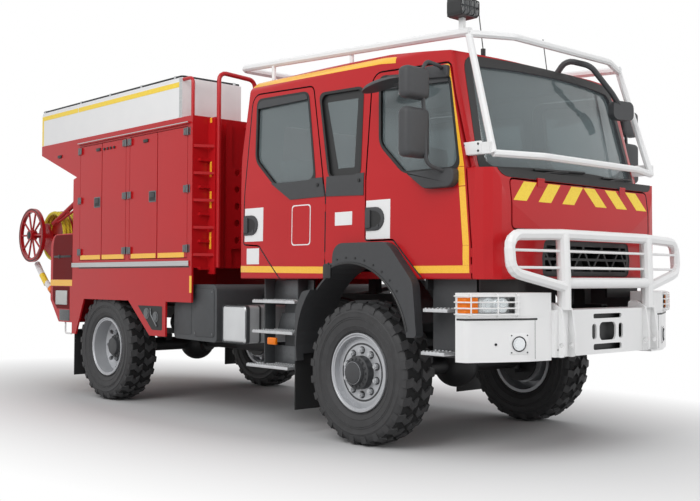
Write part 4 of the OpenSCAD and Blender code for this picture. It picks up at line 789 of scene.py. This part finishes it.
# Middle of headlamp and fog lamp along the end face, and their heights in metres
LAMP_MID, FOG_MID, LAMP_Z, FOG_Z = 1090, 913, 1.077, 0.819
for hand, word, letter in HANDS:
    # Headlamp: bright tray with two bowls behind the lens, a dark inner end and the amber indicator at the outer end.
    end_fitting("headlamp_reflectors_" + word, hand, chrome, END_FACE, LAMP_MID,
                [((-0.056, -0.146, 1.026), (-0.046, 0.080, 1.128), 0.003)],
                [bar for along in (-0.086, 0.020) for bar in ((along, LAMP_Z, -0.050, -0.034, 0.047, 32),
                                                              (along, LAMP_Z, -0.036, -0.027, 0.017, 20))])
    end_fitting("headlamp_louvres_" + word, hand, black_plastic, END_FACE, LAMP_MID,
                [((-0.026, -0.164, z), (-0.012, -0.136, z + 0.029), 0.002) for z in (1.027, 1.061, 1.095)])
    ribbon("indicator_lens_" + word, hand, amber,
           [(1122, 1265), (1192, 1265), (1231, 1186)], 1026, 1128, 8)
    # White cover over the lamp's blind inner end, a black band under the lamp box that is painted shade in the gap
    # there, and the dark joint beside the end piece.
    ribbon("lamp_cover_" + word, hand, white_coat,
           [(1348, 943), (1388, 861), (1415, 691)], 1004, 1150, 22)
    ribbon("lamp_gap_shade_" + word, hand, black_plastic,
           [(1112, 1263.5), (1191, 1263.5), (1386.5, 860.5), (1401, 770)], 977, 990, 8)
    end_fitting("end_joint_" + word, hand, black_plastic, INNER_FACE, 790,
                [((-0.003, -0.0012, 0.716), (0.0012, 0.0012, 0.976))])
    # Wire guard: four wires along the lamp, bent back round its outer end, and three uprights welded to the surround.
    bm = bmesh.new()
    for z in (1.018, 1.058, 1.098, 1.138):
        wire = ((0.002, -0.196), (0.028, -0.182), (0.028, 0.176), (-0.036, 0.238), (-0.080, 0.238))
        path_tube(bm, rounded([Vector((out, along, z)) for out, along in wire], 0.03), 0.005, 8)
    for along in (-0.176, -0.030, 0.164):
        wire = ((-0.002, 1.002), (0.028, 1.008), (0.028, 1.146), (-0.002, 1.152))
        path_tube(bm, rounded([Vector((out, along, z)) for out, z in wire], 0.008), 0.005, 8)
    onto_face(bm, END_FACE, LAMP_MID, hand)
    piece("lamp_wire_guard_" + word, bm, white_coat, "truck")
    # Fog lamp in its square plate, and the bolt heads of end piece and gusset.
    end_fitting("fog_lamp_plate_" + word, hand, white_coat, END_FACE, FOG_MID,
                [((-0.002, -0.070, 0.750), (0.003, 0.070, 0.888), 0.002)])
    end_fitting("fog_lamp_" + word, hand, chrome, END_FACE, FOG_MID,
                bars=[(0.004, FOG_Z, -0.004, 0.007, 0.046, 32), (0.004, FOG_Z, 0.005, 0.012, 0.034, 24)])
    bm = bmesh.new()
    turned(bm, [(44, 8), (48, 12), (52, 8), (48, 3), (44, 8)], Vector((0, 0, 0)), 1, 32)
    bmesh.ops.rotate(bm, verts=bm.verts, cent=(0, 0, 0), matrix=Matrix.Rotation(-math.pi / 2, 3, "Z"))
    bmesh.ops.translate(bm, vec=(0, 0.004, FOG_Z), verts=bm.verts)
    for along in (-0.058, 0.058):
        for z in (0.762, 0.876):
            rod(bm, Vector((0.002, along, z)), Vector((0.005, along, z)), 0.005, 10)
    rod(bm, Vector((-0.003, 0.172, 0.818)), Vector((0.004, 0.172, 0.818)), 0.009, 12)
    onto_face(bm, END_FACE, FOG_MID, hand)
    piece("bumper_end_screws_" + word, bm, steel_dark, "truck")
    fitting("gusset_bolts_" + word, hand, steel_dark,
            bars=[(x, 603, z, x, 611, z, 0.013, 6) for x, z in ((1368, 1066), (1378, 1030), (1420, 900), (1440, 770))])
    # Guard bracket: a small white plate on the windscreen pillar with four dark screws.
    fitting("guard_bracket_" + word, hand, white_coat,
            plates=[(eased(oblong(968, 1150, 2104, 2192), 14), 1043, 1050, 0.002)])
    fitting("guard_screws_" + word, hand, steel_dark,
            bars=[(x, 1048, z, x, 1055, z, 0.008, 8) for x in (994, 1122) for z in (2124, 2172)])
dress(lamp_glass, "headlamps")

# Wheel flares: a rolled lip round each arch and a row of rivets behind it, with a small marker lamp on the rear horn.
ARCH_X, ARCH_Z, ARCH_LONG, ARCH_HIGH, FLARE_Y = -55, 720, 620, 642, 1165


def on_arch(degrees, out, hand):
    """Point on the flare's face, so far outside the arch."""
    t = math.radians(degrees)
    return at(ARCH_X + (ARCH_LONG + out) * math.cos(t), hand * (FLARE_Y - 2), ARCH_Z + (ARCH_HIGH + out) * math.sin(t))


for hand, word, letter in HANDS:
    bm = bmesh.new()
    path_tube(bm, [on_arch(14 + 102 * k / 24, 8, hand) for k in range(25)], 0.011, 10)
    for k in range(9):
        spot = on_arch(40 + 70 * k / 8, 48, hand)
        rod(bm, spot, spot + Vector((0, hand * 0.007, 0)), 0.008, 10)
    piece("flare_lip_" + word, bm, black_plastic, "truck")
    # Splash plates that close the gaps under the cab's front corner.
    fitting("splash_plates_" + word, hand, black_plastic,
            [(1066, 560, 1110, 1084, 1000, 1296), (640, 985, 1180, 664, 1060, 1283)])
    fitting("flare_marker_" + word, hand, black_plastic,
            [(-338, FLARE_Y - 4, 1252, -250, FLARE_Y + 13, 1356, 0.006, 3)])

# Work lamp on the roof rail: ribbed black body, clear front glass and a wire frame over it.
fitting("work_lamp_glass", LEFT, lamp_glass, [(946, -1020, 3110, 956, -850, 3220, 0.004)])
fitting("work_lamp_ribs", LEFT, black_plastic,
        [(816, -1024 + i * 34, 3104, 946, -1016 + i * 34, 3229, 0.002) for i in range(6)])
wires = [[(940, y, 3108), (972, y, 3116), (972, y, 3214), (940, y, 3224)] for y in (-1010, -960, -910, -860)]
wires.append([(940, -1024, 3165), (972, -1016, 3165), (972, -854, 3165), (940, -846, 3165)])
fitting("work_lamp_wires", LEFT, steel_dark, tubes=[(wire, 0.02, 0.004, 8) for wire in wires])

# Roof: two whip antennas on round rubber feet.
fitting("roof_antennas", LEFT, black_plastic,
        bars=[bar for x, y in ((760, -560), (620, 420))
              for bar in ((x, y, 2880, x, y, 2960, 0.018, 16), (x, y, 2950, x - 40, y, 3225, 0.004, 8))])

# Locker body: bonded aluminium panels in red enamel over a tank frame. Each flank has four tall leaves with steel
# hinges, two recessed paddle latches, a rain gutter and a bare aluminium rub rail.
dress(red_enamel, "body_shell", "body_skirt", "ladder", "tail_boxes",
      *["leaf_%s%d" % (letter, i) for letter in "rl" for i in (1, 2, 3, 4)])
brushed, tree, place = finish("brushed_aluminium_extrusion")
# Brush marks run along the truck: about 1 mm apart, drawn at 5 mm so that they show.
lines = add(tree, "ShaderNodeMapping", {"Vector": place, "Scale": (4.0, per_mm(5), per_mm(5))})
brush = add(tree, "ShaderNodeTexNoise", {"Vector": lines.outputs[0], "Scale": 1.0, "Detail": 2.0})
shade = add(tree, "ShaderNodeMix", {0: brush.outputs[0], 6: linear("#A9ABAC"), 7: linear("#CDCFCF")}, data_type="RGBA")
shader = add(tree, "ShaderNodeBsdfPrincipled", {"Base Color": shade.outputs[2], "Metallic": 0.85, "Roughness": 0.36})
add(tree, "ShaderNodeOutputMaterial", {"Surface": shader.outputs[0]})

FACE = 1170
steel_grey = sprayed("grey_zinc_hinge_steel", "#5C5E60", "#747678", 0.42, 25, 2, 0.1, metal=0.7)
# Leaves of one flank: number, rear edge, front edge, hinge edge, and the stripe's two ends
LEAVES = [(1, -4311, -3838, -1, -4289, -3862), (2, -3838, -3350, 1, -3825, -3379),
          (3, -3281, -2762, -1, -3241, -2783), (4, -2762, -2241, 1, -2744, -2292)]
HINGE_Z, HINGE_LONG = (1490, 2040, 2570), 70
# Latches and small lamps on the leaves: leaf, rear edge, front edge, lower and upper edge
LATCHES = {1: (-3997, -3866, 1985, 2095), 3: (-2911, -2782, 1984, 2093)}
LEAF_LAMPS = {1: [(-3949, -3870, 2574, 2606)], 2: [(x, x + 26, 2572, 2598) for x in (-3801, -3734, -3667, -3600)],
              3: [(-3012, -2930, 2574, 2606)]}
for hand, word, letter in HANDS:
    butts = []
    for number, rear, front, edge, tape_rear, tape_front in LEAVES:
        body, tail = "leaf_%s_%d" % (word, number), "_%s_%d" % (word, number)
        fitting("leaf_stripe" + tail, hand, stripe_film,
                [(tape_rear, FACE, 1444, tape_front, FACE + 1.5, 1490)], body=body)
        # Hinge straps with their screws over the barrels, and the fixed half of each hinge on the frame.
        pin = rear - 10 if edge < 0 else front + 10
        strap, screw = (pin - edge * 14, pin - edge * 62), pin - edge * 42
        fitting("leaf_hinges" + tail, hand, steel_grey,
                [(strap[0], FACE + 12, z + 2, strap[1], FACE + 17, z + HINGE_LONG - 2, 0.002) for z in HINGE_Z],
                [(pin, FACE + 10.3, z - 1, pin, FACE + 10.3, z + HINGE_LONG + 1, 0.0108, 20) for z in HINGE_Z]
                + [(screw, FACE + 16, z + dz, screw, FACE + 19, z + dz, 0.006, 8) for z in HINGE_Z for dz in (16, 54)],
                body=body)
        butts += [(pin + edge * 15, FACE, z - 2, pin + edge * 33, FACE + 3, z + HINGE_LONG + 2, 0.001) for z in HINGE_Z]
        if number in LATCHES:
            x0, x1, z0, z1 = LATCHES[number]
            fitting("leaf_latch_frame" + tail, hand, steel_grey,
                    plates=[(eased(oblong(x0, x1, z0, z1), 12), FACE - 3, FACE + 4, 0.002)], body=body)
            fitting("leaf_latch_pan" + tail, hand, seal_rubber,
                    plates=[(eased(oblong(x0, x1, z0, z1, 12), 8), FACE, FACE + 4.6)], body=body)
            fitting("leaf_latch_paddle" + tail, hand, moulded,
                    [(x0 + 22, FACE + 3, z0 + 44, x1 - 22, FACE + 9, z1 - 18, 0.004, 2)], body=body)
        if number in LEAF_LAMPS:
            fitting("leaf_lamps" + tail, hand, black_plastic,
                    [(x0, FACE - 2, z0, x1, FACE + 14, z1, 0.006, 3) for x0, x1, z0, z1 in LEAF_LAMPS[number]],
                    body=body)
    fitting("hinge_butts_" + word, hand, steel_grey, butts)
    # The rub rail; a bright aluminium strip along the gutter's edge that stands in for a painted highlight on the red
    # gutter; and a black strip under the rail that is painted shade.
    fitting("rub_rail_and_gutter_highlight_" + word, hand, brushed,
            [(-4463, FACE + 7, 1364, -2204, FACE + 13, 1412, 0.003), (-4328, FACE + 25, 2684, -2206, FACE + 28, 2692)]
            + [(-4463, FACE + 12, z - 4, -2204, FACE + 15, z + 4, 0.0015) for z in (1376, 1400)])
    fitting("flank_lamp_and_rail_shade_" + word, hand, black_plastic,
            [(-4320, FACE - 3, 1350, -2204, FACE + 0.8, 1362),
             (-4824, FACE - 2, 2576, -4740, FACE + 14, 2608, 0.006, 3)])
    fitting("skirt_stripe_" + word, hand, stripe_film, [(-2198, FACE, 1118, -2163, FACE + 1.5, 1273)])
    # Recess in the skirt, drawn as a flat black plate painted as its shade, with two hose couplings and a lever.
    fitting("skirt_recess_shade_" + word, hand, seal_rubber,
            plates=[(eased([(-3100, 985), (-2655, 985), (-2655, 756), (-2835, 756)], 20), FACE - 2, FACE + 1.2)])
    bm = bmesh.new()
    for x, z in ((-2930, 910), (-2770, 880)):
        for near, far, radius, segments in ((-2, 5, 0.052, 24), (4, 10, 0.036, 8)):
            rod(bm, at(x, hand * (FACE + near), z), at(x, hand * (FACE + far), z), radius, segments)
    path_tube(bm, [at(x, hand * (FACE + out), z)
                   for x, out, z in ((-2860, 4, 960), (-2845, 8, 900), (-2740, 6, 790))], 0.008)
    piece("skirt_valves_" + word, bm, steel_grey, "truck")

# Coaming: white painted sheet round the deck, with a yellow band along it and its rear edge, corner rivets and a thin
# dark rail held by bright clamps.
RIM = 1165
for hand, word, letter in HANDS:
    fitting("coaming_stripe_" + word, hand, chevron_film,
            [(x0, RIM, z0, x1, RIM + 1.5, 3086)
             for x0, x1, z0 in ((-5204, -4386, 3038), (-4374, -2366, 3038), (-5238, -5205, 2752))])
    fitting("coaming_rail_" + word, hand, steel_dark,
            tubes=[([(-5225, 1150, 3141), (-2376, 1150, 3141), (-2376, 500, 3141)], 0.04, 0.009)])
    fitting("coaming_clamps_" + word, hand, brushed,
            [(x - 16, 1139, 3118, x + 16, 1161, 3154, 0.003) for x in (-5190, -4338, -3709, -3095, -2488)]
            + [(-2387, 544, 3118, -2365, 576, 3154, 0.003), (-2400, RIM, 2752, -2352, RIM + 2, 3120, 0.0008)],
            [(-2376, RIM, z, -2376, RIM + 5, z, 0.006, 10) for z in (2800, 2900, 3000, 3090)])

# Ladder marks: short yellow tapes on the outer face of the ladder's plate.
fitting("ladder_marks", RIGHT, stripe_film,
        [(-2140, 993, low, -2110, 995.5, high)
         for low, high in ((1520, 1675), (1897, 2052), (2185, 2326), (2690, 2737))])

# Battery box and tank between the axles: a grey moulded cover with its lid panel and screws, and a bright tank with
# grey end bands and straps.
cover_grey = sprayed("grey_moulded_cover", "#3E4042", "#4C4E50", 0.6, 60, 2, 0.3)
dress(cover_grey, "side_tanks")
tank_skin = sprayed("polished_aluminium_tank", "#C4C6C7", "#D8DADB", 0.3, 200, 3, 0.05, metal=0.4)
for hand, word, letter in HANDS:
    fitting("battery_cover_" + word, hand, cover_grey,
            plates=[(eased(oblong(-2230, -1905, 720, 1155), 30), 1088, 1102, 0.005),
                    (eased([(-2500, 730), (-2500, 985), (-2270, 1110), (-2270, 730)], 30), 1088, 1099, 0.004)])
    fitting("battery_screws_" + word, hand, steel_grey,
            bars=[(x, 1098, z, x, 1106, z, 0.011, 12) for x in (-2205, -1930) for z in (748, 1128)])
    fitting("side_tank_skin_" + word, hand, tank_skin, [(-1773, 470, 687, -1427, 1106, 1013, 0.03, 4)])
    fitting("tank_straps_" + word, hand, steel_grey,
            [(-1777, y0, 683, -1423, y1, 1017, 0.03, 4) for y0, y1 in ((600, 640), (930, 970), (1072, 1092))])
    fitting("side_marker_" + word, hand, amber, [(-1120, 1080, 700, -1010, 1112, 760, 0.01, 3)])

# Steps: folded tread plate in bare aluminium with rows of punched teeth, on dark painted hangers and a backing plate.
tread = figured("serrated_aluminium_tread", "ShaderNodeTexNoise", {"Scale": per_mm(40), "Detail": 4.0},
                "#B0B2B4", "#D8DADB", {"Metallic": 0.6, "Roughness": 0.42})
hanger_paint = sprayed("dark_grey_hanger_paint", "#3A3C3E", "#484A4C", 0.55, 90, 3, 0.15)
# Treads: rear edge, front edge, underside, outer and inner distance from the middle
TREADS = [(-1340, -775, 1045, 1100, 880), (-1340, -800, 790, 1100, 880), (-1420, -860, 500, 1100, 880),
          (700, 930, 1020, 1150, 1001), (680, 900, 720, 1150, 1001)]
# Hangers: rear edge, front edge, outer and inner distance from the middle, lower and upper edge
HANGERS = [(-1300, -1288, 1000, 885, 500, 1305), (-860, -848, 1000, 885, 500, 1305),
           (-1150, -790, 890, 882, 560, 1240)]
# Back plates with slanted rear ends: rear edge, front edge, lower and upper edge
BACK_PLATES = [(-1335, -775, 1075, 1235), (-1250, -800, 820, 960), (-1400, -880, 530, 680)]
TREAD_T, TOOTH_PITCH, TOOTH = 30, 34, 9
for hand, word, letter in HANDS:
    bm = bmesh.new()
    for rear, front, low, outer, inner in TREADS:
        block(bm, at(rear, hand * inner, low), at(front, hand * outer, low + TREAD_T - 6), 0.003)
        rows = int((outer - inner) / (2.2 * TOOTH_PITCH))
        for row in range(rows + 1):
            y = outer - 12 - row * (outer - inner - 24) / max(rows, 1)
            for i in range(int((front - rear - 20) / TOOTH_PITCH)):
                x = rear + 18 + i * TOOTH_PITCH
                rod(bm, at(x, hand * y, low + TREAD_T - 8), at(x, hand * y, low + TREAD_T), TOOTH / 1000, 6)
    step = piece("step_treads_" + word, bm, tread, "truck")
    hanger = fitting("step_hangers_" + word, hand, hanger_paint,
                     [(rear, inner, low, front, outer, high, 0.002)
                      for rear, front, outer, inner, low, high in HANGERS])
    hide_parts("cab_steps")
    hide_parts("cab_steps")
    fitting("step_back_plates_" + word, hand, steel_grey,
            plates=[([(rear, low), (front, low), (front, high), (rear + 60, high)], 887, 893, 0.002)
                    for rear, front, low, high in BACK_PLATES])
flap_rubber = sprayed("black_flap_rubber", "#161617", "#222223", 0.75, 120, 6, 0.25)
dress(flap_rubber, "mudflaps")

# Tail boxes: an inset panel with a strap and a recess with a pale valve box, both drawn as flat dark red plates that
# are painted shade; a yellow band round each box, a slatted vent and a bent hoop step below; red lamps look rearwards.
red_lens = sprayed("red_lamp_lens", "#8E1014", "#B01A1E", 0.18, 15, 4, 0.4)
pale_box = sprayed("pale_grey_enclosure", "#B9BBB8", "#C9CBC8", 0.5, 60, 3, 0.1)
recess_shade_red = sprayed("red_painted_as_recess_shade", "#5E0508", "#6E070B", 0.5, 300, 6, 0.04, gloss=0.1)
TAIL = 1165
for hand, word, letter in HANDS:
    # Dark red plates flat on the flank: painted shade of the inset panel and of the recess below it.
    fitting("tail_recess_shade_" + word, hand, recess_shade_red, plates=[
        ([(-4928, 1234), (-4928, 1600), (-4900, 1690), (-4860, 1722), (-4476, 1722), (-4476, 1234)], TAIL, TAIL + 1.2),
        ([(-4928, 1012), (-4928, 1158), (-4530, 1158), (-4530, 914), (-4820, 914)], TAIL, TAIL + 1.2)])
    fitting("tail_stripe_" + word, hand, stripe_film,
            [(-4986, TAIL, 1164, -4476, TAIL + 1.5, 1230), (-4987, TAIL, 1164, -4985, TAIL - 395, 1230)])
    fitting("tail_valve_box_" + word, hand, pale_box,
            [(-4843, TAIL - 2, 957, -4579, TAIL + 12, 1113, 0.008, 2)])
    fitting("tail_vent_" + word, hand, steel_grey,
            [(-4760, TAIL - 2, 783, -4524, TAIL + 3, 906, 0.002)]
            + [(-4750, TAIL + 2, 792 + i * 16, -4534, TAIL + 8, 801 + i * 16, 0.002) for i in range(7)])
    fitting("tail_strap_" + word, hand, steel_dark,
            [(-4900, TAIL, 1474, -4500, TAIL + 5, 1496, 0.001), (-4800, TAIL, 1466, -4756, TAIL + 9, 1504, 0.003)])
    fitting("tail_lamps_" + word, hand, red_lens,
            [(-4984, 800 + i * 110, 1030, -4999, 895 + i * 110, 1130, 0.008, 2) for i in range(3)])
    fitting("tail_step_hoop_" + word, hand, white_coat,
            tubes=[([(x, 1140, z) for x, z in ((-4666, 772), (-4666, 648), (-4505, 648), (-4505, 772))], 0.03, 0.009)])

# Reel cart: a two-wheeled hose reel hung on the tail. Red tube frame, spoked wheels with black rubber rims and wound
# yellow woven hose; a slanted white and yellow boom with an amber end lies below it.
cart_red = sprayed("red_enamel_on_cart", "#A01318", "#AE1A1F", 0.34, 300, 5, 0.05, coat=0.1, gloss=0.3)
dress(cart_red, "reel_frame", "reel_drum")
# Twill of the jacket: threads about 2 mm apart, drawn at about 22 mm so that they show.
hose = figured("woven_yellow_hose_jacket", "ShaderNodeTexWave", {"Scale": per_mm(60), "Distortion": 2.0},
               "#C9B414", "#E6D22C", {"Roughness": 0.75, "Sheen Weight": 0.2}, (0.4, 0.001), bands_direction="DIAGONAL")
REEL_X, REEL_Z, HOSE_R, DRUM_HALF, DRUM_R, CART_R = -5650, 1750, 23, 828, 252, 315
bm = bmesh.new()
turns = int(2 * DRUM_HALF / (2 * HOSE_R))
for i in range(turns):
    y = -DRUM_HALF + (i + 0.5) * 2 * HOSE_R
    centre = at(REEL_X, y, REEL_Z)
    ring = [(DRUM_R + 22 + HOSE_R * math.cos(t), HOSE_R * math.sin(t)) for t in (math.pi * k / 4 for k in range(8))]
    turned(bm, ring + ring[:1], centre, 1, 40)
close_up(bm)
piece("wound_hose", bm, hose, "reel")
for hand, word, letter in HANDS:
    bm = bmesh.new()
    centre = at(REEL_X, hand * 1080, REEL_Z)
    ring = [(CART_R - 14 + 13 * math.cos(t), 24 * math.sin(t)) for t in (math.pi * k / 6 for k in range(12))]
    turned(bm, ring + ring[:1], centre, hand, 64)
    close_up(bm)
    piece("cart_tyre_" + word, bm, rubber, "reel")
    bm = bmesh.new()
    turned(bm, [(0, 52), (30, 50), (44, 42), (46, 30)], centre, hand, 24)
    close_up(bm)
    piece("cart_hub_" + word, bm, steel_dark, "reel")

# Lattice of the lifting arms: a lower chord along each arm with cross rods welded between them.
bm = bmesh.new()
for hand in (RIGHT, LEFT):
    low = [at(-5400, hand * 885, 1895), at(-5060, hand * 705, 2130), at(-4560, hand * 690, 1985)]
    path_tube(bm, rounded(low, 0.08), 0.014, 10)
    for x, z0, z1, y0, y1 in ((-5320, 1952, 2030, 842, 800), (-5220, 2020, 2110, 788, 750),
                              (-5110, 2094, 2190, 728, 705), (-4950, 2098, 2205, 700, 692),
                              (-4780, 2050, 2140, 696, 692)):
        rod(bm, at(x, hand * y0, z0), at(x + 40, hand * y1, z1), 0.010, 10)
piece("arm_lattice", bm, cart_red, "truck")

# Boom below the cart, in white with yellow film and an amber lamp at its end.
fitting("cart_drawbar", LEFT, white_coat,
        tubes=[([(-5700, hand * 990, 1420), (-5480, hand * 990, 1210), (-5330, hand * 985, 1120)], 0.06, 0.034, 12)
               for hand in (RIGHT, LEFT)])
fitting("drawbar_film", LEFT, chevron_film,
        bars=[(-5560, hand * 990, 1286, -5440, hand * 990, 1180, 0.0362, 12) for hand in (RIGHT, LEFT)])
fitting("drawbar_lamp", LEFT, amber,
        bars=[bar for hand in (RIGHT, LEFT)
              for bar in ((-5345, hand * 985, 1128, -5290, hand * 984, 1096, 0.042, 16),
                          (-5330, hand * 960, 1120, -5090, hand * 900, 1250, 0.016, 10))])

# Cab interior: seats in dark woven cloth over foam, an upright bench behind; the dashboard is moulded.
# Threads about 1 mm apart, drawn at about 16 mm so that they show.
cloth = figured("dark_woven_seat_cloth", "ShaderNodeTexWave", {"Scale": per_mm(50), "Distortion": 1.0},
                "#2C3036", "#3E444C", {"Roughness": 0.9, "Sheen Weight": 0.3}, (0.3, 0.001), bands_direction="Z")
FLOOR_Z, SEAT_H, SEAT_HALF = 1306, 340, 236
# Seats: name, middle X, middle Y, width
SEATS = [("driver_seat", 365, 525, 490), ("passenger_seat", 365, -525, 490), ("rear_bench", -1050, 0, 1700)]
stood_in = []
for name, x, y, wide in SEATS:
    bm = bmesh.new()
    block(bm, at(x - SEAT_HALF, y - wide / 2 + 4, FLOOR_Z + 2),
          at(x + SEAT_HALF, y + wide / 2 - 4, FLOOR_Z + SEAT_H - 4), 0.045, 4)
    bmesh.ops.subdivide_edges(bm, edges=bm.edges, cuts=2, use_grid_fill=True)
    for vert in bm.verts:
        across = (vert.co.y * 1000 - y) / (wide / 2)
        along = (vert.co.x - at(x, 0, 0).x) * 1000 / SEAT_HALF
        if vert.co.z > at(0, 0, FLOOR_Z + SEAT_H - 20).z:
            vert.co.z -= 0.022 * (across * across + along * along) / 2
    cushion = piece(name + "_cushion", bm, cloth, "truck")
    bm = bmesh.new()
    block(bm, Vector((0.004, -wide / 2000 + 0.024, 0.004)), Vector((0.126, wide / 2000 - 0.024, 0.636)), 0.04, 4)
    bmesh.ops.rotate(bm, verts=bm.verts, cent=(0, 0, 0), matrix=Matrix.Rotation(math.radians(-5), 3, "Y"))
    bmesh.ops.translate(bm, vec=at(x - 240, y, FLOOR_Z + SEAT_H + 0.3), verts=bm.verts)
    back = piece(name + "_back", bm, cloth, "truck")
    stood_in += [cushion, back]
for soft in stood_in:
    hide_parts("seats")
